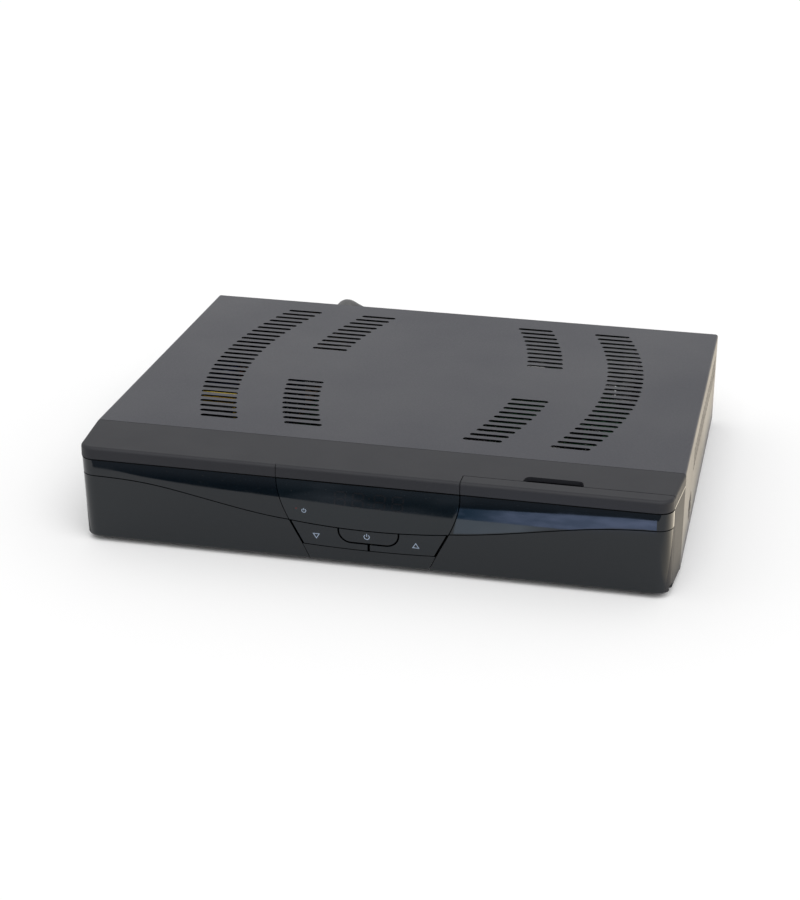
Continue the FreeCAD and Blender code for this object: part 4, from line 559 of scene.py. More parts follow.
def makeLeadSleeve():                            # ribbed sleeve that tapers along the lead
    root, tip, length, flange, wall, ribs, bore = sleeve.values()
    profile = [(0.5, -0.9), (5.3, -0.9), (5.3, 0), (flange - 0.5, 0), (flange, 0.5), (flange, wall - 0.5),
               (flange - 0.5, wall)]
    pitch = (length - wall) / ribs
    for rib in range(ribs):
        start, radius = wall + pitch * rib, root + (tip - root) * rib / ribs
        profile += [(radius - 0.9, start), (radius - 0.9, start + pitch * 0.3),
                    (radius, start + pitch * 0.38), (radius - 0.1, start + pitch * 0.95)]
    profile += [(tip, length - 0.5), (tip - 0.5, length), (bore, length), (bore, length - 3)]
    return Shape().turned(profile, (lead["x"], panelOut, lead["z"]), rearward, 40).done(
        "leadSleeve", "plugMould", slot="plug_pvc", replaced=("strain_relief",))


plug = {"length": 36.0, "width": 34.8, "height": 13.6, "pin": 2.0, "pinLength": 19.0, "spacing": 18.6,
        "corner": 0.45, "inset": 0.35, "grip": 0.35, "grips": (12, 25)}
plugStations = [(0.3, 5.4, 4.7), (4, 6.8, 5.4), (9, 7.5, 5.9), (13, 9.6, 6.2), (17, 12.6, 6.5),
                (21, 14.8, 6.7), (24, 16.6, 6.8), (28, 17.2, 6.8), (32, 16.9, 6.7), (34.5, 15.6, 6.3),
                (35.9, 13.8, 5.2)]


def plugPlace():
    end, before = Vector(tailRoute[-1]), Vector(tailRoute[-2])
    heading = math.atan2(end.y - before.y, end.x - before.x)
    return Matrix.Translation(end) @ Matrix.Rotation(heading, 4, "Z")


def makePlug():                                  # stations: how far along, half the width, half the height
    look, place, rings = plug, plugPlace(), []
    for along, wide, tall in plugStations:
        wide, tall, ring = min(wide, look["width"] / 2), min(tall, look["height"] / 2), []
        for step in range(40):
            angle = 2 * math.pi * step / 40
            c, s = math.cos(angle), math.sin(angle)
            ridged = look["grips"][0] < along < look["grips"][1] and abs(c) > 0.8
            inset = look["inset"] + (look["grip"] * math.sin(along * 2.1) if ridged else 0.0)
            y = math.copysign(abs(c) ** look["corner"] * wide, c) - math.copysign(inset, c)
            z = math.copysign(abs(s) ** look["corner"] * tall, s)
            ring.append(place @ Vector((along, y, z)))
        rings.append(ring)
    body = Shape().loft(rings).done("plugBody", "plugMould", slot="plug_pvc", replaced=("mains_plug",))
    pins, collars = Shape(), Shape()
    turn, r, end = place.to_3x3() @ Vector(sideways), look["pin"], look["pinLength"] + 1
    for side in (-1, 1):
        start = place @ Vector((look["length"] - 1, side * look["spacing"] / 2, 0))
        pins.turned([(r, 9), (r, end - 1.2), (r * 0.8, end - 0.4), (r * 0.45, end)], start, turn, 24)
        collars.turned([(r + 0.9, 0), (r + 0.9, 1.4), (r * 0.98, 2.0), (r * 0.98, 10.9), (r * 0.9, 11)],
                       start, turn, 24)
    metal = pins.done("plugPins", "nickelPlate", slot="nickel", replaced=("plug_pins",))
    collar = collars.done("pinSleeves", "blackMould", slot="plug_pvc")
    return [body, metal, collar]


tie = {"bearing": 210, "inner": 24.5, "outer": 45.5, "high": 14.6, "wide": 8.0, "thick": 0.9, "round": 4.2,
       "lap": (27.5, 41.5, 42.6), "lapThick": 0.45}


def makeTie():                                   # a woven strap round all the turns, its end lapped over
    look, half, thick = tie, tie["wide"] / 2, tie["thick"]
    bearing = math.radians(look["bearing"])
    outward = Vector((math.sin(bearing), math.cos(bearing), 0))
    along = Vector((outward.y, -outward.x, 0))
    heart = Vector((*lead["coil"], 0))

    def spot(out, shift, z):
        return heart + outward * out + along * shift + Vector((0, 0, z))

    def band(inset, shift):                      # a rounded loop in the plane of the bearing
        low, high = look["inner"] + inset, look["outer"] - inset
        under, over, r = 0.02 + inset, look["high"] - inset, max(look["round"] - inset, 0.5)
        corners = ((high - r, over - r, 0), (low + r, over - r, 90), (low + r, under + r, 180),
                   (high - r, under + r, 270))
        turns = [(x, z, math.radians(start + step * 90 / 8)) for x, z, start in corners for step in range(9)]
        return [spot(x + r * math.cos(angle), shift, z + r * math.sin(angle)) for x, z, angle in turns]
    outside = [(0.12, -half), (0, 0.35 - half), (0, half - 0.35), (0.12, half)]
    inside = [(thick - 0.1, half), (thick, half - 0.3), (thick, 0.3 - half), (thick - 0.1, -half)]
    strap = Shape().loft([band(*edge) for edge in outside + inside], looped=True)
    (start, bend, end), lap = look["lap"], []
    outline = [(start, -half), (start, half), (bend, half), (end, half - 1.4), (end, 1.4 - half),
               (bend, -half)]
    for share in (0, 1):                         # the lap's lower and upper face
        level = look["high"] - 0.02 + look["lapThick"] * share
        lap.append([spot(x - 0.15 * share, y * (1 - 0.03 * share), level - (thick if x >= bend else 0.0))
                    for x, y in outline])
    strap.loft(lap)
    return strap.done("leadTie", "wovenStrap", slot="plug_pvc", replaced=("lead_tie",), smooth=40)


mainsLead = makeLead()
leadSleeve = makeLeadSleeve()
plugPieces = makePlug()
leadTie = makeTie()
2 * lead["radius"] * mm
plugPieces + [leadSleeve, leadTie]
print("mains lead wound")


def boxOf(name):                                 # the lowest and highest corner of a node, in millimetres
    return [tuple(corner / mm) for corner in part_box(name)]


def islands(name):                               # the boxes of a node's separate solids, in millimetres
    mesh = bmesh.new()
    mesh.from_mesh(nodes[name].data)
    bmesh.ops.remove_doubles(mesh, verts=mesh.verts[:], dist=1e-6)
    left, boxes = set(mesh.verts), []
    while left:
        queue, spots = [left.pop()], []
        while queue:
            vert = queue.pop()
            spots.append(vert.co / mm)
            for edge in vert.link_edges:
                other = edge.other_vert(vert)
                if other in left:
                    left.discard(other)
                    queue.append(other)
        boxes.append(([min(part) for part in zip(*spots)], [max(part) for part in zip(*spots)]))
    mesh.free()
    return sorted(boxes)


def middle(box):
    return Vector([(low + high) / 2 for low, high in zip(*box)])


def circle(x, y, radius, steps=24):
    angles = [2 * math.pi * step / steps for step in range(steps)]
    return [(x + radius * math.cos(angle), y + radius * math.sin(angle)) for angle in angles]


def crossReach(angle, arm, half):                # how far a cross recess reaches in one direction
    turn = (angle + math.pi / 4) % (math.pi / 2) - math.pi / 4
    if abs(math.tan(turn)) < half / arm:
        return arm / math.cos(turn)
    return half / abs(math.sin(turn))


screw = {"radius": 2.8, "height": 1.8, "arm": 0.62, "half": 0.16, "depth": 0.55, "taper": 0.7, "pitch": 0.7,
         "side": 138.7}


def addScrew(shape, place, axis, shank, reach):
    radius, height, arm, half, depth, taper, pitch, _ = screw.values()

    def cross(share):
        return lambda angle: crossReach(angle, radius * arm * share, radius * half * share)
    profile = [(shank * 0.6, -reach), (shank, -reach + 0.8)]
    for turn in range(int((reach - 1.2) / pitch)):                # the thread, as rings
        start = -reach + 0.8 + turn * pitch
        profile += [(shank * 0.86, start + pitch * 0.3), (shank, start + pitch)]
    profile += [(shank * 0.86, -0.05), (radius * 0.96, 0), (radius, 0.12 * height), (radius, 0.45 * height),
                (radius * 0.93, 0.8 * height), (radius * 0.78, 0.97 * height), (radius * 0.7, height),
                (cross(1.0), height), (cross(0.92), height - 0.12), (cross(taper), height * (1 - depth)),
                (radius * 0.06, height * (0.9 - depth))]
    shape.turned(profile, place, axis, 48)


def makeScrews():
    cover, panel, board = Shape(), Shape(), Shape()
    for box in islands("cover_screws"):
        spot = middle(box)
        side = math.copysign(1, spot.x)
        if abs(spot.x) > 100:
            addScrew(cover, (side * screw["side"], spot.y, spot.z), (side, 0, 0), 1.45, 6)
        else:
            addScrew(cover, (spot.x, rear, spot.z), rearward, 1.45, 6)
    for box in islands("panel_screws"):
        spot = middle(box)
        addScrew(panel, (spot.x, box[1][1] - screw["height"], spot.z), rearward, 1.25, 4.1)
    for box in islands("board_screws"):
        spot = middle(box)
        addScrew(board, (spot.x, spot.y, boardTop), upward, 1.25, 7)
    cover.done("coverScrews", "blackOxide", slot="screw_black", replaced=("cover_screws",))
    panel.done("panelScrews", "zincScrew", slot="screw_zinc", replaced=("panel_screws",))
    board.done("boardScrews", "zincScrew", slot="screw_zinc", replaced=("board_screws",))
    print("screws turned")


# Signs on the buttons, the stand-by light and the unlit digits behind the window.
signs = {"line": 0.38, "proud": 0.04, "down": (-24.6, 15.4), "up": (22.1, 15.2), "arrow": 1.4,
         "power": (-0.8, 17.3), "powerRadius": 1.25, "light": (-33.6, 28.9), "lightRadius": 0.55,
         "standby": (-30.0, 28.1), "standbyRadius": 0.95, "opening": 76}
digits = {"left": -15.6, "low": 32.5, "high": 39.9, "wide": 4.9, "pitch": 8.4, "count": 4, "line": 0.75,
          "lean": 0.1, "apart": 1.6, "dot": 0.5, "dotBack": 0.9}


def onFace(x, z):                                # a point a hair proud of the front face
    return (x, fasciaY(z) - signs["proud"], z)


def addStroke(shape, points, width, closed=False):    # a line of even width on the front face
    count, left, right = len(points), [], []
    for index, (x, z) in enumerate(points):
        before = points[index - 1] if closed or index else points[index]
        after = points[(index + 1) % count] if closed or index < count - 1 else points[index]
        first = Vector((x - before[0], z - before[1]))
        second = Vector((after[0] - x, after[1] - z))
        first = first.normalized() if first.length else second.normalized()
        second = second.normalized() if second.length else first
        along = (first + second).normalized()
        across = Vector((-along.y, along.x)) * width / 2 / max(along.dot(first), 0.4)
        left.append(onFace(x + across.x, z + across.y))
        right.append(onFace(x - across.x, z - across.y))
    if closed:
        left.append(left[0])
        right.append(right[0])
    shape.strip(left, right)


def makeSigns():
    line, size = signs["line"], signs["arrow"]
    for name, body, way in (("down", "down_key", -1), ("up", "up_key", 1)):
        (x, z), sign = signs[name], Shape()
        foot, tip = z - way * size * 0.75, z + way * size * 0.9
        addStroke(sign, [(x - size, foot), (x + size, foot), (x, tip)], line, closed=True)
        sign.done(name + "Sign", "palePrint", slot="piano_black", body=body)
    start, sweep = 90 + signs["opening"] / 2, 360 - signs["opening"]
    angles = [math.radians(start + step * sweep / 24) for step in range(25)]
    for name, body in (("power", "power_key"), ("standby", "receiver")):
        (x, z), radius, sign = signs[name], signs[name + "Radius"], Shape()
        ring = [(x + radius * math.cos(angle), z + radius * math.sin(angle)) for angle in angles]
        addStroke(sign, ring, line)              # a broken ring, and a bar in its gap
        addStroke(sign, [(x, z + 0.1), (x, z + radius * 1.35)], line)
        sign.done(name + "Sign", "palePrint", slot="piano_black", body=body)
    window = [onFace(*spot) for spot in circle(*signs["light"], signs["lightRadius"])]
    Shape().patch(window).done("standbyWindow", "unlitRed", slot="lamp_red")


def makeDigits():                                # seven bars each, a hair proud of the smoked window
    look, bars, line = digits, Shape(), digits["line"]
    tall = look["high"] - look["low"]
    half, gap = tall / 2, line * 0.62

    def spot(x, up):
        return (x + look["lean"] * up, look["low"] + up)
    for index in range(look["count"]):
        left = look["left"] + index * look["pitch"] + (look["apart"] if index > 1 else 0.0)
        right = left + look["wide"]
        for up in (0, half, tall):
            addStroke(bars, [spot(left + gap, up), spot(right - gap, up)], line)
        for x in (left, right):
            addStroke(bars, [spot(x, gap), spot(x, half - gap)], line)
            addStroke(bars, [spot(x, half + gap), spot(x, tall - gap)], line)
    x = look["left"] + 2 * look["pitch"] - look["dotBack"]
    for up in (tall * 0.3, tall * 0.7):
        bars.patch([onFace(*place) for place in circle(*spot(x, up), look["dot"], 16)])
    bars.done("unlitDigits", "dimDigit", slot="smoked_lens")


# Rear sockets: what stands inside their mouths, and the coloured rings of the phono jacks.
socketFace = panelOut + 0.1
tongues = {                                      # middle, size, depth, finish and number of contacts
    "usb": (79.25, 14.4, 11.1, 1.9, 8.2, "whiteMould", 4),
    "hdmi": (59.5, 14.1, 11.4, 1.3, 7.2, "blackMould", 10),
}


def addTongue(name, x, z, wide, tall, deep, finish, contacts):
    y, pads, pitch = socketFace - 1.6, Shape(), wide * 0.8 / contacts
    tongue = Shape().box((x - wide / 2, y - deep, z - tall / 2), (x + wide / 2, y, z + tall / 2), 0.15)
    tongue.done(name + "Tongue", finish, slot="black_part")
    for index in range(contacts):
        spot = x + pitch * (index - (contacts - 1) / 2)
        for level, low in ((-1, z - tall / 2 - 0.08), (1, z + tall / 2 - 0.02)):
            if contacts > 4 or level < 0:        # only the longer row has contacts on both faces
                pads.box((spot - pitch * 0.28, y - deep, low), (spot + pitch * 0.28, y - 0.5, low + 0.1))
    pads.done(name + "Contacts", "goldPlate", slot="plated")


def makeSockets():
    for name, look in tongues.items():
        addTongue(name, *look)
    springs = Shape()                            # the curled springs of the screening shells
    for name in ("usb_socket", "hdmi_socket"):
        (left, _, _), (right, _, roof) = boxOf(name)
        start, crest, end = socketFace - 1.0, socketFace - 4.5, socketFace - 8
        curl = [(start, roof - 0.95), (crest, roof - 1.5), (end, roof - 0.98), (end, roof - 0.8),
                (start, roof - 0.8)]
        for share in (0.28, 0.72):
            x = left + (right - left) * share
            springs.prism(curl, x - 1.1, x + 1.1, "yz")
    springs.done("shellSprings", "tinPlate", slot="plated")
    makeEthernet()
    makeOptical()
    makePhono()
    makeScart()
    makeAerials()
    print("rear sockets fitted")


ethernet = {"x": 38.95, "z": 17.65, "wide": 11.8, "tall": 8.0, "deep": 13.0, "wall": 0.35,
            "latch": (3.2, 1.3), "contacts": 8, "pitch": 1.02, "lamp": (2.6, 1.5), "lamps": (5.2, 23.2)}


def makeEthernet():
    look, y, wall = ethernet, socketFace, ethernet["wall"]
    x, z = look["x"], look["z"]
    left, right = x - look["wide"] / 2, x + look["wide"] / 2
    low, high = z - look["tall"] / 2, z + look["tall"] / 2
    latch, step = look["latch"]
    lining = Shape()                             # black plastic lining with the latch step below
    for x0, x1, z0, z1 in ((left, left + wall, low, high), (right - wall, right, low, high),
                           (left, right, high - wall, high), (left, x - latch, low, low + step),
                           (x + latch, right, low, low + step)):
        lining.box((x0, y - 11.5, z0), (x1, y - 0.15, z1), 0.1)
    lining.box((left, y - look["deep"] + 0.2, low), (right, y - 11.5, high), 0.1)
    lining.done("ethernetLining", "blackMould", slot="black_part")
    wires = Shape()
    bent = [(y - 2.2, high - 0.5), (y - 2.5, high - 0.9), (y - 9.5, z - 0.6), (y - 9.5, z - 0.25),
            (y - 2.2, high - 0.35)]
    for index in range(look["contacts"]):
        spot = x + look["pitch"] * (index - (look["contacts"] - 1) / 2)
        wires.prism(bent, spot - 0.2, spot + 0.2, "yz")
    wires.done("ethernetContacts", "goldPlate", slot="plated")
    (wide, tall), (out, level) = look["lamp"], look["lamps"]
    for side, finish, name in ((-1, "greenPart", "linkLamp"), (1, "yellowMould", "trafficLamp")):
        spot = x + side * out
        lamp = Shape().box((spot - wide / 2, y - 1, level - tall / 2),
                           (spot + wide / 2, y + 0.06, level + tall / 2), 0.1)
        lamp.done(name, finish, slot="plated")


optical = {"rim": 3.95, "mouth": 3.62, "knob": 3.5, "grip": 0.9}


def makeOptical():
    box, y = boxOf("optical_socket"), socketFace
    end, spot = box[1][1], middle(box)
    rim, mouth, knob, grip = optical.values()
    case = Shape().box(box[0], (box[1][0], y, box[1][2]), 0.35, 3)
    case.turned([(rim, y - 0.4), (rim, y + 0.02), (rim - 0.2, y + 0.1), (mouth, y + 0.02), (mouth, y - 0.4)],
                (spot.x, 0, spot.z), rearward, 40)
    case.turned([(knob, y - 1.2), (knob, end - 0.5), (knob - 0.3, end - 0.12), (knob - grip, end),
                 (0.9, end), (0.6, end - 0.5)], (spot.x, 0, spot.z), rearward, 40)
    case.done("opticalSocket", "blackMould", slot="black_part", replaced=("optical_socket",))


phono = {"xs": (-9.95, 4.05), "zs": (21.0, 35.0), "barrel": 4.15, "collar": 5.0, "bore": 1.7, "reach": 118.3,
         "boreDepth": 9.0, "root": 108.6, "paint": ("redMould", "whiteMould", "whiteMould", "yellowMould")}


def makePhono():
    low, high = boxOf("phono_sockets")
    case = Shape().box(low, (high[0], 109.1, high[2]), 0.5, 3)
    case.box((low[0] + 1.2, low[1], high[2] - 0.4), (high[0] - 1.2, 108.2, high[2]), 0.1)
    case.done("phonoBlock", "blackMould", slot="black_part", replaced=("phono_sockets",))
    xs, zs, barrel, collar, bore, end, deep, root, paint = phono.values()
    barrels, edge = Shape(), panelOut + 0.6
    rings = {"whiteMould": Shape(), "redMould": Shape(), "yellowMould": Shape()}
    for place, finish in zip([(x, 0, z) for x in xs for z in zs], paint):
        barrels.turned([(barrel, root), (barrel, end - 0.6), (barrel - 0.35, end - 0.1), (barrel - 0.6, end),
                        (barrel - 0.75, end), (barrel - 0.85, end - 0.3), (barrel - 0.85, end - 5.5),
                        (bore + 0.4, end - 5.6)], place, rearward, 40)
        rings[finish].turned([(collar, root), (collar, edge - 0.15), (collar - 0.15, edge),
                              (barrel + 0.03, edge)], place, rearward, 40)
        rings[finish].turned([(barrel - 0.87, end - 5.2), (barrel - 0.87, end - 0.75),
                              (barrel - 1.0, end - 0.6), (bore + 0.35, end - 0.6), (bore + 0.1, end - 0.9),
                              (bore, end - deep), (0.2, end - deep)], place, rearward, 40)
    barrels.done("phonoBarrels", "nickelPlate", slot="nickel")
    for finish, ring in rings.items():
        ring.done(finish.replace("Mould", "") + "PhonoRings", finish, slot="black_part")


scart = {"rim": 1.4, "groove": 2.2, "grooveDeep": 9.0, "slant": 4.0, "pitch": 3.6, "slot": (1.7, 0.42),
         "slotDeep": 1.3, "shield": 0.3, "rows": ((21.9, 10, 1.0), (15.7, 11, 0.0))}    # level, count, shift


def makeScart():
    look, y, slant = scart, socketFace, scart["slant"]
    low, high = boxOf("scart_socket")

    def ring(inset, level, slant=slant):         # the outline of the socket, one corner cut off
        left, right, under, over = low[0] + inset, high[0] - inset, low[2] + inset, high[2] - inset
        return [(left, level, under), (right, level, under), (right, level, over),
                (left + slant, level, over), (left, level, over - slant)]
    rim, core = look["rim"], look["rim"] + look["groove"]
    deep, back = y - look["grooveDeep"], y - look["slotDeep"]
    case = Shape().loft([ring(0.01, low[1], 0.5), ring(0.01, y - 0.25, 0.5), ring(0.25, y, 0.5),
                         ring(rim, y), ring(rim, deep), ring(core, deep), ring(core, back)])
    tall, thin = look["slot"]
    left, right, floor, roof = low[0] + core, high[0] - core, low[2] + core, high[2] - core
    upper, lower = (level for level, _, _ in look["rows"])
    for under, over in ((floor, lower - tall), (lower + tall, upper - tall)):    # bars between the rows
        case.prism([(left, under), (right, under), (right, over), (left, over)], back, y - 0.05)
    under = upper + tall
    case.prism([(left, under), (right, under), (right, roof), (left + slant, roof),
                (left, max(roof - slant, under))], back, y - 0.05)
    contacts = Shape()
    for z, count, shift in look["rows"]:         # the webs between the slots, and a contact in each slot
        start = middle((low, high)).x - look["pitch"] * (count - 1) / 2 + shift
        spots = [start + look["pitch"] * index for index in range(count)]
        edges = [left] + [edge for spot in spots for edge in (spot - thin, spot + thin)] + [right]
        for first, last in zip(edges[::2], edges[1::2]):
            case.box((first, back, z - tall), (last, y - 0.05, z + tall))
        for spot in spots:
            contacts.box((spot - 0.14, back - 0.1, z - tall * 0.8), (spot + 0.14, y - 0.55, z + tall * 0.8))
    case.done("scartCase", "blackMould", slot="black_part", replaced=("scart_socket",))
    contacts.done("scartContacts", "nickelPlate", slot="nickel")
    wall = rim + look["shield"]                  # bright metal lining of the groove
    Shape().loft([ring(rim, deep + 0.1), ring(rim, y - 0.5), ring(wall, y - 0.5), ring(wall, deep + 0.1)],
                 looped=True).done("scartShield", "tinPlate", slot="plated")


aerial = {"radius": 4.7, "root": 5.3, "rootEnd": 112.9, "end": 120.4, "pitch": 0.85, "pin": 0.55,
          "bore": 3.1, "start": 109.1}
nut = {"corner": 7.2, "bore": 5.45, "near": 110.12, "far": 112.1}


def flats(reach):                                # six flats, their corners eased by a turned chamfer
    def out(angle):
        turn = angle % (math.pi / 3) - math.pi / 6
        return min(nut["corner"] * math.cos(math.pi / 6) / math.cos(turn), reach)
    return out


def makeAerials():
    radius, root, rootEnd, end, pitch, pin, bore, start = aerial.values()
    posts, inserts, pins, nuts = Shape(), Shape(), Shape(), Shape()
    profile = [(root, start), (root, rootEnd - 0.2), (radius - 0.4, rootEnd)]
    for turn in range(int((end - 0.6 - rootEnd) / pitch)):        # the thread, as rings
        level = rootEnd + turn * pitch
        profile += [(radius, level + pitch * 0.35), (radius, level + pitch * 0.5),
                    (radius - 0.4, level + pitch * 0.92)]
    profile += [(radius - 0.15, end - 0.45), (radius - 0.5, end), (bore + 0.2, end), (bore, end - 0.3),
                (bore, end - 1.0)]
    for box in islands("aerial_sockets"):
        place = (middle(box).x, 0, middle(box).z)
        posts.turned(profile, place, rearward, 48)
        inserts.turned([(bore + 0.02, end - 7), (bore + 0.02, end - 0.9), (1.0, end - 0.9),
                        (0.75, end - 1.2), (0.75, end - 6.8)], place, rearward)
        pins.turned([(pin, end - 6.9), (pin, end - 1.7), (0.2, end - 1.5)], place, rearward, 20)
    posts.done("aerialPosts", "nickelPlate", slot="nickel", replaced=("aerial_sockets",))
    inserts.done("aerialInserts", "whiteMould", slot="black_part")
    pins.done("aerialPins", "goldPlate", slot="plated")
    bore, near, far = nut["bore"], nut["near"], nut["far"]
    for box in islands("aerial_nuts"):
        nuts.turned([(bore, near), (flats(6.9), near), (flats(7.15), near + 0.23), (flats(7.15), far - 0.3),
                     (flats(6.85), far), (bore + 0.25, far), (bore, far - 0.2)],
                    (middle(box).x, 0, middle(box).z), rearward, 72)
    nuts.done("aerialNuts", "nickelPlate", slot="nickel", replaced=("aerial_nuts",))


# Mains switch: its rocker, which leans at rest, and the two generic signs on it.
rocker = {"x": -112.0, "y": panelOut - 2.0, "z": 28.5, "ridge": 3.4, "end": 4.8, "half": 7.2, "wide": 5.2,
          "lean": 10, "sign": 0.4, "signHigh": 2.0, "signLow": 1.9, "ring": (1.55, 1.9, -3.9)}


def makeRocker():
    look, ridge, end, half, wide = rocker, rocker["ridge"], rocker["end"], rocker["half"], rocker["wide"]
    turn = Matrix.Rotation(-math.radians(look["lean"]), 3, "X")
    pivot = Vector((look["x"], look["y"], look["z"]))
    profile = [(ridge, 0.0), (end - 0.1, half - 0.35), (end - 0.45, half), (-1, half - 0.3), (-4.5, 3),
               (-4.5, -3), (-1, 0.3 - half), (end - 0.45, -half), (end - 0.1, 0.35 - half)]
    body = Shape().loft([
        [pivot + turn @ Vector((x, out - (shrink if out > 0 else 0), up * (1 - shrink * 0.03)))
         for out, up in profile]
        for x, shrink in ((-wide, 0.3), (0.3 - wide, 0.0), (wide - 0.3, 0.0), (wide, 0.3))])
    body.turned([(1.0, -5.9), (1.0, 5.9)], pivot, sideways, 20)
    body.done("rockerKey", "blackMould", slot="black_part", replaced=("mains_rocker",), body="rocker",
              smooth=50)

    def spot(x, up):                             # a point on one of the two slanting faces, a hair proud
        return pivot + turn @ Vector((x, ridge + (end - ridge) * abs(up) / half + 0.05, up))
    sign, line, low = Shape(), look["sign"] / 2, look["signLow"]
    high = low + 2 * look["signHigh"]
    sign.patch([spot(-line, low), spot(line, low), spot(line, high), spot(-line, high)])
    wide, tall, level = look["ring"]
    angles = [step * math.pi / 14 for step in range(29)]
    outer = [(wide * math.cos(angle), tall * math.sin(angle)) for angle in angles]
    sign.strip([spot(x, level + up) for x, up in outer],
               [spot(x * 0.74, level + up * 0.79) for x, up in outer])
    sign.done("rockerSigns", "whiteMould", slot="black_part", body="rocker")


# Printed lines round the rear sockets, a hair proud of the zinc. They hold no words.
frames = {"line": 0.35, "proud": 0.03, "arrow": (1.1, 1.7), "boxes": (
    (91.5, 133.5, 10.0, 28.5), (70.5, 88.0, 9.4, 19.6), (50.0, 68.9, 9.4, 19.2), (29.5, 48.4, 9.4, 26.2),
    (14.6, 27.4, 9.4, 22.6), (-18.6, 12.7, 9.4, 43.6), (-71.0, -20.0, 9.4, 28.0)),
    "ticks": ((102.5, 30.5), (122.5, 30.5), (79.2, 21.6), (59.5, 21.2), (38.9, 28.2), (21.0, 24.6))}


def makeRearPrint():
    y, half, lines = panelOut + frames["proud"], frames["line"] / 2, Shape()

    def outline(left, right, low, high):
        return [(x, y, z) for x, z in ((left, low), (right, low), (right, high), (left, high), (left, low))]
    for left, right, low, high in frames["boxes"]:
        lines.strip(outline(left - half, right + half, low - half, high + half),
                    outline(left + half, right - half, low + half, high - half))
    wide, tall = frames["arrow"]
    for x, z in frames["ticks"]:                 # small arrows that point at a socket
        lines.patch([(x - wide, y, z + tall), (x + wide, y, z + tall), (x, y, z)])
    lines.done("rearPrint", "blackOxide", slot="black_part")
    print("rear panel printed")


capacitor = {"crimp": 1.5, "crimpDeep": 0.45, "rim": 0.35, "vent": 0.12}


def addCapacitor(sleeves, tops, box):
    crimp, crimpDeep, rim, vent = capacitor.values()
    radius, height = (box[1][0] - box[0][0]) / 2, box[1][2] - box[0][2]
    place = Vector((middle(box).x, middle(box).y, box[0][2]))
    sleeves.turned([(radius * 0.8, 0), (radius - 0.2, 0.02), (radius, 0.3), (radius, crimp),
                    (radius - crimpDeep, crimp + 0.5), (radius, crimp + 1.1), (radius, height - 0.5),
                    (radius - 0.35, height - 0.05), (radius * 0.86, height)], place, upward, 36)
    tops.turned([(radius * 0.87, height - 0.4), (radius * 0.87, height - rim * 0.5),
                 (radius * 0.8, height - rim), (radius * 0.1, height - rim)], place, upward, 36)
    spot = place + Vector((0, 0, height - rim + 0.02))
    for turn in (0.3, 0.3 + math.pi / 2):        # the cross that is scored in the lid
        along = Vector((math.cos(turn), math.sin(turn), 0)) * radius * 0.7
        side = Vector((-math.sin(turn), math.cos(turn), 0)) * vent
        tops.patch([spot - along - side, spot + along - side, spot + along + side, spot - along + side])


def makeCapacitors():
    sleeves, tops, names = Shape(), Shape(), ("bulk_capacitor", "output_capacitors", "board_capacitors")
    for name in names:
        for box in islands(name):
            addCapacitor(sleeves, tops, box)
    sleeves.done("capacitorSleeves", "capSleeve", slot="cap_sleeve", replaced=names)
    tops.done("capacitorLids", "rolledAlu", slot="alu")


transformer = {"flange": 1.4, "belt": 6.2, "wrap": 0.5, "leg": 5.0, "pins": 5, "pin": 0.7}


def makeTransformer():
    flange, belt, wrap, leg, count, pin = transformer.values()
    (left, front, low), (right, back, high) = boxOf("transformer_coil")
    coreLow, coreHigh = boxOf("transformer_core")
    tape = Shape().box((left + 0.3, front + flange, low + 1.2), (right - 0.3, back - flange, high - 1.2),
                       1.6, 3)
    x0, x1, z0, z1 = coreLow[0] + wrap, coreHigh[0] - wrap, coreLow[2], coreHigh[2] - wrap
    start, end, over = coreLow[1] - 0.15, coreLow[1] + belt, coreHigh[2] - 0.02
    for x in (coreLow[0] + 0.02, x1):            # a belt of the same tape round the front of the core
        tape.box((x, start, z0 + 0.3), (x + wrap - 0.02, end, over))
    tape.box((coreLow[0] + 0.02, start, z1), (coreHigh[0] - 0.02, end, over))
    tape.box((x0, start, high + 0.2), (x1, coreLow[1] + 0.2, z1))
    tape.done("coilTape", "yellowTape", slot="yellow_tape", replaced=("transformer_coil",))
    core, split = Shape(), (coreLow[1] + coreHigh[1]) / 2
    for y0, y1 in ((coreLow[1], split - 0.05), (split + 0.05, coreHigh[1])):     # two halves that meet
        for first, last, under, roof in ((x0, left, z0, z1), (right, x1, z0, z1), (x0, x1, high, z1),
                                         (x0, x1, z0, low)):
            core.box((first, y0, under), (last, y1, roof), 0.3)
    core.done("transformerCore", "ferriteGrey", slot="ferrite", replaced=("transformer_core",))
    bobbin, pins = Shape(), Shape()
    for y in (front, back - flange):
        bobbin.box((left + 0.1, y, low), (right - 0.1, y + flange, high), 0.4)
    for y in (front, back - leg):
        bobbin.box((left + 0.1, y, boardTop + 0.4), (right - 0.1, y + leg, low), 0.3)
        for index in range(count):
            x = left + 2 + index * (right - left - 4) / (count - 1)
            pins.block(x, y + 2.55, pin, pin, boardTop - 1.0, boardTop + 0.5)
    bobbin.done("bobbin", "blackMould", slot="yellow_tape")
    pins.done("bobbinPins", "tinPlate", slot="plated")


choke = {"bar": 5.0, "deep": 4.5, "turns": 8, "wound": 4.15, "bulge": 0.32, "inside": 3.0, "former": 4.9,
         "gap": 0.7, "reach": 0.36}


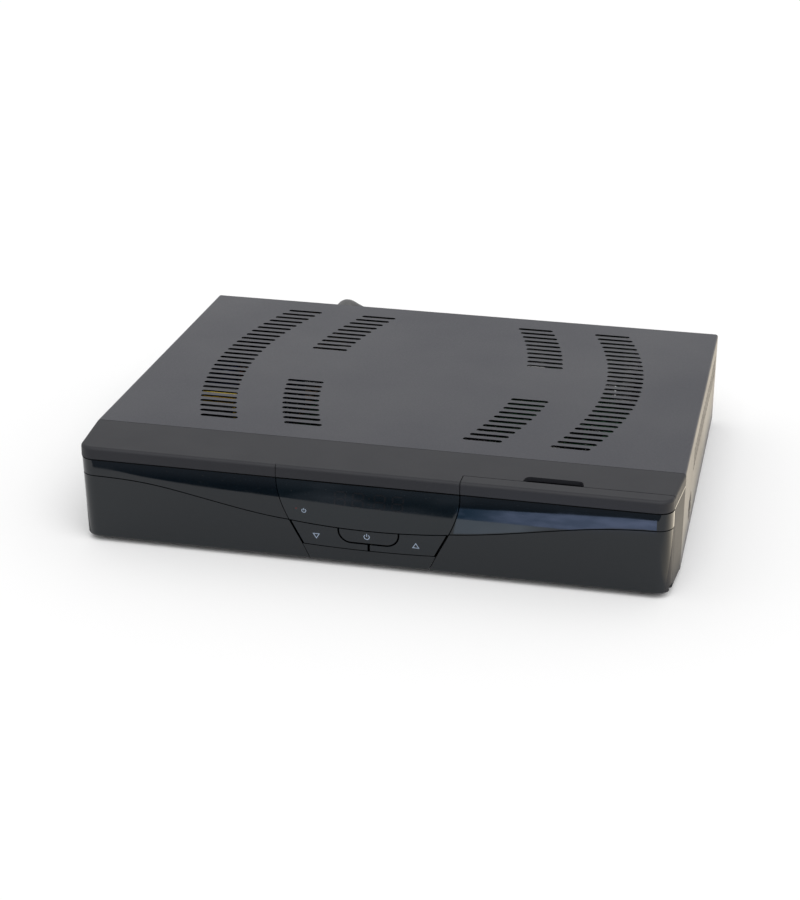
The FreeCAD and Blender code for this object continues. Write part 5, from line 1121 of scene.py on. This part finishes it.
def makeChoke():
    bar, deep, turns, wound, bulge, inside, former, apart, reach = choke.values()
    (left, front, low), (right, back, high) = boxOf("line_choke")
    heart, y, levels = (left + right) / 2, (front + back) / 2, (high - 5.2, low + 5.4)
    core, wire, walls = Shape(), Shape(), Shape()
    for x0, x1, z0, z1 in ((left, left + bar, low, high), (right - bar, right, low, high),
                           (left + bar, right - bar, high - bar, high),
                           (left + bar, right - bar, low, low + bar)):
        core.box((x0, y - deep, z0), (x1, y + deep, z1), 0.35)
    core.done("chokeCore", "ferriteGrey", slot="ferrite", replaced=("line_choke",))
    for side in (-1, 1):
        first, last = sorted((heart + side * apart, heart + side * (right - left) * reach))
        pitch, profile = (last - first) / turns, [(inside, first)]
        for turn in range(turns):                # each turn of enamelled wire stands out a little
            for share in (0.0, 0.25, 0.5, 0.75):
                out = wound + bulge * math.sin(math.pi * share)
                profile.append((out, first + pitch * (turn + share)))
        profile += [(wound, last), (inside, last)]
        for level in levels:
            wire.turned(profile, (0, y, level), sideways, 28)
    wire.done("chokeWindings", "copperWire", slot="ferrite")
    for level in levels:
        walls.turned([(former, heart - 0.6), (former, heart + 0.6)], (0, y, level), sideways, 28)
    walls.done("chokeFormer", "whiteMould", slot="ferrite")


fuse = {"cap": 5.2, "wall": 0.28, "clip": 1.9}


def makeFuse():
    cap, wall, clip = fuse.values()
    (left, front, low), (right, back, high) = boxOf("mains_fuse")
    x, z, radius = (left + right) / 2, (low + high) / 2, (right - left) / 2
    Shape().turned([(radius - 0.45, front + 3), (radius - 0.45, back - 3)], (x, 0, z), rearward).done(
        "fuseGlass", "glassTube", slot="glass_tube", replaced=("mains_fuse",))
    caps = Shape()
    for start, end in ((front, front + cap), (back - cap, back)):
        caps.turned([(radius - 0.6, start), (radius - 0.2, start + 0.12), (radius - 0.2, end - 0.3),
                     (radius - 0.3, end)], (x, 0, z), rearward)
        y = (start + end) / 2
        for side in (-1, 1):                     # the two cheeks of a clip
            outer, inner = x + side * radius, x + side * (radius - wall)
            caps.prism([(outer, low), (outer, z + 0.8), (inner, z + 1.2), (inner, low)], y - clip, y + clip)
        caps.block(x, y, 2 * radius, 2 * clip, low, low + 0.3)
    caps.done("fuseClips", "nickelPlate", slot="glass_tube")


chips = {"legWide": 0.3, "legPitch": 0.8, "step": 0.75, "edge": 1.6, "base": 0.35, "under": 0.9, "balls": 21}


def makeChips():
    legWide, legPitch, step, edge, base, under, balls = chips.values()
    (left, front, low), (right, back, high) = boxOf("decoder_chip")
    legs, dots = Shape(), Shape()
    body = Shape().box((left + edge, front + edge, low + under), (right - edge, back - edge, high), 0.15)
    Shape().box((left, front, low + base), (right, back, low + under), 0.05).done(
        "decoderBase", "greenBoard", slot="chip_black", replaced=("decoder_chip",))
    for row in range(balls):                     # solder balls that show along the edges
        x, y = (start + (end - start) * (row + 0.5) / balls for start, end in ((left, right), (front, back)))
        for spot in ((left + 0.6, y), (right - 0.6, y), (x, front + 0.6), (x, back - 0.6)):
            legs.turned([(0.12, 0), (0.24, 0.12), (0.24, 0.3), (0.15, 0.37)], (*spot, low), upward, 10)
    for (left, front, low), (right, back, high) in islands("memory_chips"):
        body.box((left + step, front, low + 0.12), (right - step, back, high), 0.1)
        count = int((back - front - 0.6) / legPitch) + 1
        for side, outer in ((-1, left), (1, right)):
            inner = outer - side * (step + 0.1)
            for index in range(count):
                y = (front + back) / 2 + legPitch * (index - (count - 1) / 2)
                legs.prism([(outer, low), (outer, low + 0.12), (outer - side * 0.3, low + 0.14),
                            (inner, low + 0.62), (inner, low + 0.5), (outer - side * 0.36, low)],
                           y - legWide / 2, y + legWide / 2)
        dots.turned([(0.45, 0), (0.45, 0.015)], (left + 1.8, back - 1.2, high), upward, 16)
    body.done("chipBodies", "chipMould", slot="chip_black", replaced=("memory_chips",))
    legs.done("chipLegs", "tinPlate", slot="plated")
    dots.done("chipDots", "palePrint", slot="chip_black")


# Small parts of the main board: kind, middle and whether it is turned. Then the size of each kind.
mainParts = (
    ("coil", 84, 44, 0), ("coil", 74, 44, 0), ("coil", -60, -30, 0), ("coil", -60, -14, 0),
    ("crystal", 22, 34, 1), ("crystal", 60, 30, 0), ("smallChip", -20, 76, 0), ("smallChip", 40, 74, 0),
    ("smallChip", 78, 72, 0), ("smallChip", -48, 40, 1), ("smallChip", -48, 12, 0),
    ("smallChip", 24, -44, 1), ("smallChip", -44, -58, 0), ("smallChip", 60, 58, 0),
    ("header", -40, -88, 0), ("header", 46, -70, 0),
    ("diode", -62, 20, 0), ("diode", -62, 26, 0), ("diode", -62, 32, 0), ("diode", 50, -50, 1))
partSizes = {"coil": (7.0, 7.0, 4.2), "crystal": (11.0, 4.6, 3.4), "smallChip": (5.0, 6.2, 1.5),
             "header": (14.0, 5.0, 6.5), "diode": (5.0, 2.6, 2.2)}
chipGrid = {"across": (-66, 128), "along": (-90, 100), "pitch": 5.3, "loose": 1.6, "margin": 1.6,
            "share": 0.5,
            "kept": ("board_capacitors", "decoder_chip", "memory_chips", "module_cage", "card_reader",
                     "tuner_can", "usb_socket", "hdmi_socket", "ethernet_socket", "optical_socket",
                     "phono_sockets", "scart_socket", "supply_harness", "ribbon_cable", "board_screws")}


def scatter(index, salt):                        # a steady number from 0 to 1 for a place in a row
    return math.modf(abs(math.sin(index * 12.9898 + salt * 78.233) * 43758.5453))[0]


def rows(start, end, pitch):
    return [start + pitch * index for index in range(math.ceil((end - start) / pitch))]


def isClear(x, y, taken):                        # whether a place keeps its distance from every part
    margin = chipGrid["margin"]
    return all(x < left - margin or x > right + margin or y < low - margin or y > high + margin
               for left, right, low, high in taken)


def makeSmallParts():
    look = chipGrid
    taken = [(low[0], high[0], low[1], high[1]) for name in look["kept"] for low, high in islands(name)]
    black, metal, ends, tan = Shape(), Shape(), Shape(), Shape()
    for kind, x, y, turned in mainParts:
        wide, long, tall = partSizes[kind]
        if turned:
            wide, long = long, wide
        over = boardTop + tall
        if kind == "crystal":
            metal.block(x, y, wide, long, boardTop, over, 1.2, 4)
        elif kind == "coil":
            black.block(x, y, wide, long, boardTop, over - 0.6, 0.6, 3)
            metal.turned([(2.3, 0), (2.3, 0.55), (1.9, 0.6)], (x, y, over - 0.6), upward, 28)
        elif kind == "header":
            ends.block(x, y, wide, long, boardTop, over, 0.2)
            for pin in range(6):
                metal.block(x - 5 + 2 * pin, y, 0.6, 0.6, over - 0.5, over + 1.2)
        else:
            black.block(x, y, wide - 1.4, long, boardTop + 0.1, over, 0.15)
            start, count = (-1.9, 4) if kind == "smallChip" else (0, 1)
            for pin in range(count):
                metal.block(x, y + start + 1.27 * pin, wide, 0.4, boardTop, boardTop + 0.25)
        taken.append((x - wide / 2, x + wide / 2, y - long / 2, y + long / 2))
    spots = [(x, y) for x in rows(*look["across"], look["pitch"])
             for y in rows(*look["along"], look["pitch"])]
    for index, (x, y) in enumerate(spots, 1):
        x, y = x + scatter(index, 1) * look["loose"], y + scatter(index, 2) * look["loose"]
        if isClear(x, y, taken) and scatter(index, 3) < look["share"]:
            lying = scatter(index, 4) > 0.5
            wide, long = (1.0, 0.55) if lying else (0.55, 1.0)
            body = tan if scatter(index, 5) > 0.45 else black
            body.block(x, y, wide * 1.2, long * 1.2, boardTop, boardTop + 0.55)
            for shift in (-0.8, 0.8):            # the soldered ends
                if lying:
                    metal.block(x + shift, y, 0.5, long * 1.24, boardTop, boardTop + 0.57)
                else:
                    metal.block(x, y + shift, wide * 1.24, 0.5, boardTop, boardTop + 0.57)
    black.done("smallBlackParts", "chipMould", slot="chip_black")
    metal.done("solderedEnds", "tinPlate", slot="plated")
    ends.done("boardHeaders", "whiteMould", slot="white_cable")
    tan.done("smallTanParts", "tanPart", slot="chip_black")
    print("main board filled")


# Parts of the supply board: upright discs, banded resistors, a foil capacitor and an opto coupler.
supplyParts = {"discs": ((-128.5, 52.5, "blueDisc"), (-99, 52, "blueDisc"), (-126, 8, "tanPart")),
               "resistors": ((-128, -8, 0), (-128, -14, 0), (-106, 12, 1), (-100, 47, 0), (-84, 62, 1),
                             (-84, 68, 1), (-122, -34, 0), (-122, -40, 0), (-100, -44, 0)),
               "bands": ((-1.2, "redMould"), (-0.3, "blueDisc"), (0.6, "redMould")),
               "foil": (-113, 53.5, 12, 6, 9), "opto": (-104.5, -52, 6.5, 4.8, 3.4)}


def makeSupplyParts():
    look, metal, transistors = supplyParts, Shape(), Shape()
    shapes = {"blueDisc": Shape(), "tanPart": Shape(), "redMould": Shape()}
    for x, y, finish in look["discs"]:
        shapes[finish].turned([(1.5, -1.5), (3.2, -1.1), (3.8, 0), (3.2, 1.1), (1.5, 1.5)],
                              (x, y, boardTop + 5.6), rearward, 28)
        for shift in (-2, 2):
            metal.turned([(0.3, 0), (0.3, 3.4)], (x + shift, y, boardTop), upward, 10)
    body = [(0.6, -3.1), (1.1, -2.9), (1.2, -2.2), (0.95, -1.8), (0.95, 1.8), (1.2, 2.2), (1.1, 2.9),
            (0.6, 3.1)]
    for x, y, along in look["resistors"]:
        axis, place = rearward if along else sideways, Vector((x, y, boardTop + 1.3))
        shapes["tanPart"].turned(body, place, axis, 20)
        for shift, finish in look["bands"]:
            shapes[finish].turned([(0.98, shift - 0.22), (0.98, shift + 0.22)], place, axis, 20)
        for leg, start in ((-3.9, -4.0), (3.9, 3.0)):
            spot = Vector((x, y, boardTop)) + Vector(axis) * leg
            metal.turned([(0.28, -0.5), (0.28, 1.5)], spot, upward, 10)
            metal.turned([(0.28, 0), (0.28, 1.0)], place + Vector(axis) * start, axis, 10)
    x, y, wide, long, tall = look["foil"]
    Shape().block(x, y, wide, long, boardTop, boardTop + tall, 0.7, 3).done(
        "foilCapacitor", "yellowMould", slot="yellow_tape")
    x, y, wide, long, tall = look["opto"]
    Shape().block(x, y, wide, long, boardTop + 0.2, boardTop + tall, 0.2).done(
        "optoCoupler", "chipMould", slot="chip_black")
    for finish, shape in shapes.items():
        shape.done(finish + "Parts", finish, slot="cap_sleeve")
    metal.done("supplyLeads", "tinPlate", slot="plated")
    (_, front, low), (right, back, _) = boxOf("psu_heatsink")
    for y in (front + 9.5, (front + back) / 2 + 7):
        transistors.box((right, y - 5, low + 5), (right + 4.2, y + 5, low + 14), 0.3)
        transistors.box((right, y - 5, low + 14), (right + 1.3, y + 5, low + 20), 0.2)
    transistors.done("transistors", "chipMould", slot="chip_black")
    print("supply board filled")


frontParts = {"case": 3.5, "lid": 0.5, "glass": 1.2, "eye": 1.5}


def makeFrontParts():                            # what stands on the upright board behind the panel
    case, lid, glass, eye = frontParts.values()
    cases, plungers = Shape(), Shape()
    for low, high in islands("tact_switches"):
        spot, y = middle((low, high)), high[1] - case
        cases.box((low[0], y + lid, low[2]), high, 0.3)
        cases.box((low[0] + 0.2, y, low[2] + 0.2), (high[0] - 0.2, y + lid, high[2] - 0.2), 0.15)
        plungers.turned([(1.75, y - low[1] + lid), (1.75, 0.25), (1.5, 0)], (spot.x, low[1], spot.z),
                        rearward, 28)
    cases.done("switchCases", "blackMould", slot="black_part", replaced=("tact_switches",))
    plungers.done("switchPlungers", "whiteMould", slot="black_part")
    (left, front, low), (right, back, high) = boxOf("display_module")
    Shape().box((left, front + glass, low), (right, back, high), 0.3).done(
        "displayCase", "whiteMould", slot="smoked_lens", replaced=("display_module",))
    Shape().box((left + 0.6, front, low + 0.6), (right - 0.6, front + glass, high - 0.6), 0.2).done(
        "displayGlass", "darkEye", slot="smoked_lens")
    low, high = boxOf("ir_receiver")
    spot, radius = middle((low, high)), (high[0] - low[0]) / 2 - 0.5
    sensor = Shape().box((low[0], low[1] + eye, low[2]), high, 0.25)
    sensor.turned([(radius, 1.6), (radius, 0.9), (radius * 0.85, 0.4), (radius * 0.5, 0.08), (0.2, 0)],
                  (spot.x, low[1], spot.z), rearward, 28)
    sensor.done("remoteEye", "darkEye", slot="ir_dark", replaced=("ir_receiver",))
    low, high = boxOf("standby_led")
    spot, deep = middle((low, high)), high[1] - low[1]
    lamp = Shape().turned([(2.0, deep), (2.0, deep - 1.0), (1.5, deep - 1.2), (1.5, 1.4), (1.25, 0.6),
                           (0.7, 0.12), (0.1, 0)], (spot.x, low[1], spot.z), rearward, 28)
    lamp.done("standbyLamp", "redLamp", slot="lamp_red", replaced=("standby_led",))


harness = {"radius": 0.75, "edge": 2.0, "plug": 4.5, "colours": (
    "redMould", "blackMould", "yellowMould", "blackMould", "redMould", "blackMould", "yellowMould")}


def makeCables():
    radius, edge, tall, colours = harness.values()
    (left, front, _), (right, back, high) = boxOf("supply_harness")
    wires = {"redMould": Shape(), "yellowMould": Shape(), "blackMould": Shape()}
    pitch, side = (back - front - 2 * edge) / (len(colours) - 1), Vector(rearward)
    bend = [(edge, boardTop + 4), (2.4, high - 1.6), (4, high - 0.9)]
    angles = [step * math.pi / 5 for step in range(10)]
    for index, colour in enumerate(colours):
        y, rings = front + edge + pitch * index, []
        path = [Vector((left + x, y, z)) for x, z in bend] + [Vector(((left + right) / 2, y, high - 0.8))]
        path += [Vector((right - x, y, z)) for x, z in reversed(bend)]
        for spot, before, after in zip(path, [path[0]] + path[:-1], path[1:] + [path[-1]]):
            across = (after - before).normalized().cross(side).normalized()
            rings.append([spot + (across * math.cos(angle) + side * math.sin(angle)) * radius
                          for angle in angles])
        wires[colour].loft(rings)
    for colour, shape in wires.items():
        shape.done(colour.replace("Mould", "") + "Wires", colour, slot="white_cable", smooth=80)
    plugs = Shape()
    for x in (left + edge, right - edge):
        plugs.box((x - edge, front, boardTop), (x + edge, back, boardTop + tall), 0.3)
    plugs.done("harnessPlugs", "whiteMould", slot="white_cable", replaced=("supply_harness",))


foot = {"radius": 8.0, "height": 2.5, "hollow": 3.2}


def makeFeet():
    (radius, height, hollow), feet = foot.values(), Shape()
    for box in islands("rubber_feet"):
        feet.turned([(hollow * 0.3, 0.9), (hollow, 0.8), (hollow + 0.4, 0), (radius - 1.1, 0),
                     (radius - 0.7, 0.12), (radius - 0.15, 0.9), (radius, 1.3), (radius, height)],
                    (middle(box).x, middle(box).y, 0), upward, 40)
    feet.done("rubberFeet", "footRubber", slot="foot_rubber", replaced=("rubber_feet",))


# Screened boxes: the tuner with its lid, and the spring bars of the module cage.
screens = {"lid": 4.0, "rib": 9.0, "thin": 0.02, "tongues": 5, "bars": 6, "levels": (0.9, 8.3)}


def makeScreens():
    lid, rib, thin, tongueCount, barCount, levels = screens.values()
    (left, front, low), (right, back, high) = boxOf("tuner_can")
    can = Shape().box((left, front, low), (right, back, high - 0.5), 0.3)
    can.box((left, front, high - lid), (right, back, high), 0.45, 3)
    for x in (left + rib, right - rib):
        can.box((x - 2, front + 8, high - thin), (x + 2, back - 8, high))
    can.done("tunerCan", "tinPlate", slot="plated", replaced=("tuner_can",))
    marks = Shape()
    for index in range(tongueCount):             # tongues of the lid, bent over the wall
        y = front + 5 + index * (back - front - 10) / (tongueCount - 1)
        for x in (left, right - thin):
            marks.box((x, y - 1.6, high - 3.4), (x + thin, y + 1.6, high - 0.8))
    marks.done("lidTongues", "blackOxide", slot="plated")
    (left, front, low), (right, _, _) = boxOf("module_cage")
    bars, start, crest, end = Shape(), front + 3, front + 12, front + 21
    for level in (low + levels[0], low + levels[1]):
        for index in range(barCount):
            x = left + 8 + index * (right - left - 16) / (barCount - 1)
            bars.prism([(start, level), (crest, level + 0.55), (end, level), (end, level - 0.2),
                        (start, level - 0.2)], x - 1.2, x + 1.2, "yz")
    bars.done("cageSprings", "zincScrew", slot="plated")
    print("screens closed")


makeScrews()
makeSigns()
makeDigits()
makeSockets()
makeRocker()
makeRearPrint()
makeCapacitors()
makeTransformer()
makeChoke()
makeFuse()
makeChips()
makeSmallParts()
makeSupplyParts()
makeFrontParts()
makeCables()
makeFeet()
makeScreens()
print("details made")


# A wide pale floor, a pale world and one broad lamp. Four cards lie on the floor, and only the gloss of the
# receiver sees them: a dark one ahead of it, a bluish and a pale one at its flap, a warm one at its right.
room = {"floor": 8.0, "tone": 0.8, "ambient": 0.58, "lamp": 1.75, "lampSize": 60, "lampTurn": (34, 14, 0)}
cards = {
    "darkCard": {"low": (0, 0, 0), "high": (0.42, 0.45, 0.52), "cloud": (17, (1, 2.6, 1)), "clouds": 1.0,
                 "band": (-45, 20), "slopes": ((1, -164, -171, 0.4),), "outline": [
        (-420, -230), (-420, -190), (-153, -167.7), (-139, -166), (-127, -164), (-97, -160.8), (-55, -158.7),
        (-11, -156.2), (31, -155.4), (33, -163.2), (52.5, -164.6), (81.1, -166.5), (108.7, -168),
        (126.5, -168.4), (420, -169.5), (420, -230)]},
    "blueCard": {"low": (0.2, 0.45, 0.8), "high": (2.1, 2.6, 4.1), "cloud": (60, (1, 3, 1)), "clouds": 0.3,
                 "slopes": ((0, 36, 58, 0.35), (0, 50, 120, 0.3)), "outline": [
        (32, -163.2), (33, -155.5), (82, -155.5), (86.7, -155.7), (94.9, -157.6), (107.4, -159.8),
        (120, -161.1), (131, -161.4), (131, -168.6), (126.5, -168.5), (108.7, -168.1), (81.1, -166.6),
        (52.5, -164.7)]},
    "paleCard": {"low": (1.45, 1.7, 2.0), "high": (1.75, 2.0, 2.3), "cloud": (20, (1, 1, 1)), "clouds": 1.0,
                 "fades": ((0, 86, 64),), "outline": [
        (33, -155.4), (33.6, -144.2), (44.3, -145.8), (54.4, -147.9), (64.4, -150.3), (74.5, -152.9),
        (82.6, -155.0), (86, -155.4)]},
    "warmCard": {"low": (1.95, 1.74, 1.4), "high": (2.45, 2.2, 1.8), "cloud": (6, (1, 1, 1)), "clouds": 1.0,
                 "fades": ((0, 143.5, 152), (1, -150, -85)), "outline": [
        (143, -150), (420, -150), (420, 420), (143, 420)]},
}


def makeWorld():
    world = bpy.data.worlds.new("studio")
    bpy.context.scene.world = world
    world.use_nodes = True
    web, background = Web(world.node_tree), world.node_tree.nodes["Background"]
    web.plug(background.inputs["Color"], (1.0, 1.0, 1.0, 1.0))
    web.plug(background.inputs["Strength"], web.whiteWhenSeen(room["ambient"]))


def flatPiece(name, corners, made):              # one flat face, for the floor or a card
    data = bpy.data.meshes.new(name)
    data.from_pydata(corners, [], [tuple(range(len(corners)))])
    data.materials.append(made.material)
    return linked(name, data)


def makeFloor():
    made, half = Finish("paleFloor", (room["tone"],) * 3, 0.85), room["floor"] / 2
    tone = made.whiteWhenSeen(room["tone"])
    made.feed("Base Color", made.add("ShaderNodeCombineXYZ", None, {0: tone, 1: tone, 2: tone}))
    made.feed("Specular IOR Level", 0.0)
    corners = [(-half, -half, 0), (half, -half, 0), (half, half, 0), (-half, half, 0)]
    flatPiece("floor", corners, made)


def makeCard(name, look):
    made = Finish(name, (0.02, 0.02, 0.02), 0.9)
    scale, stretch = look["cloud"]
    share = made.clamp(made.noise(scale, 3.0, stretch), 0.42, 0.66) * look["clouds"]
    if "band" in look:                           # clouds only in the part that the middle mirrors
        start, end = (edge * mm for edge in look["band"])
        across, soft = made.axis(0), 20 * mm
        share = share * made.clamp(across, start - soft, start) * made.clamp(across, end, end + soft, 1, 0)
    for letter, start, end, gain in look.get("slopes", ()):
        share = share + made.clamp(made.axis(letter), start * mm, end * mm, 0, gain)
    alpha = 1.0
    for letter, start, end in look.get("fades", ()):
        alpha = made.clamp(made.axis(letter), start * mm, end * mm) * alpha
    made.feed("Alpha", alpha)
    made.feed("Emission Color", made.mix(share, look["low"], look["high"]))
    made.feed("Emission Strength", 1.0)
    card = flatPiece(name, [Vector((x, y, 1)) * mm for x, y in look["outline"]], made)
    for kind in ("camera", "diffuse", "shadow", "transmission"):
        setattr(card, "visible_" + kind, False)


def makeLamp():
    lamp = linked("softLamp", bpy.data.lights.new("softLamp", "SUN"))
    lamp.data.energy = room["lamp"]
    lamp.data.angle = math.radians(room["lampSize"])
    lamp.rotation_euler = [math.radians(turn) for turn in room["lampTurn"]]


makeWorld()
makeFloor()
for cardName, cardLook in cards.items():
    makeCard(cardName, cardLook)
makeLamp()
bpy.context.scene.view_settings.view_transform = "Standard"
print("room lit")
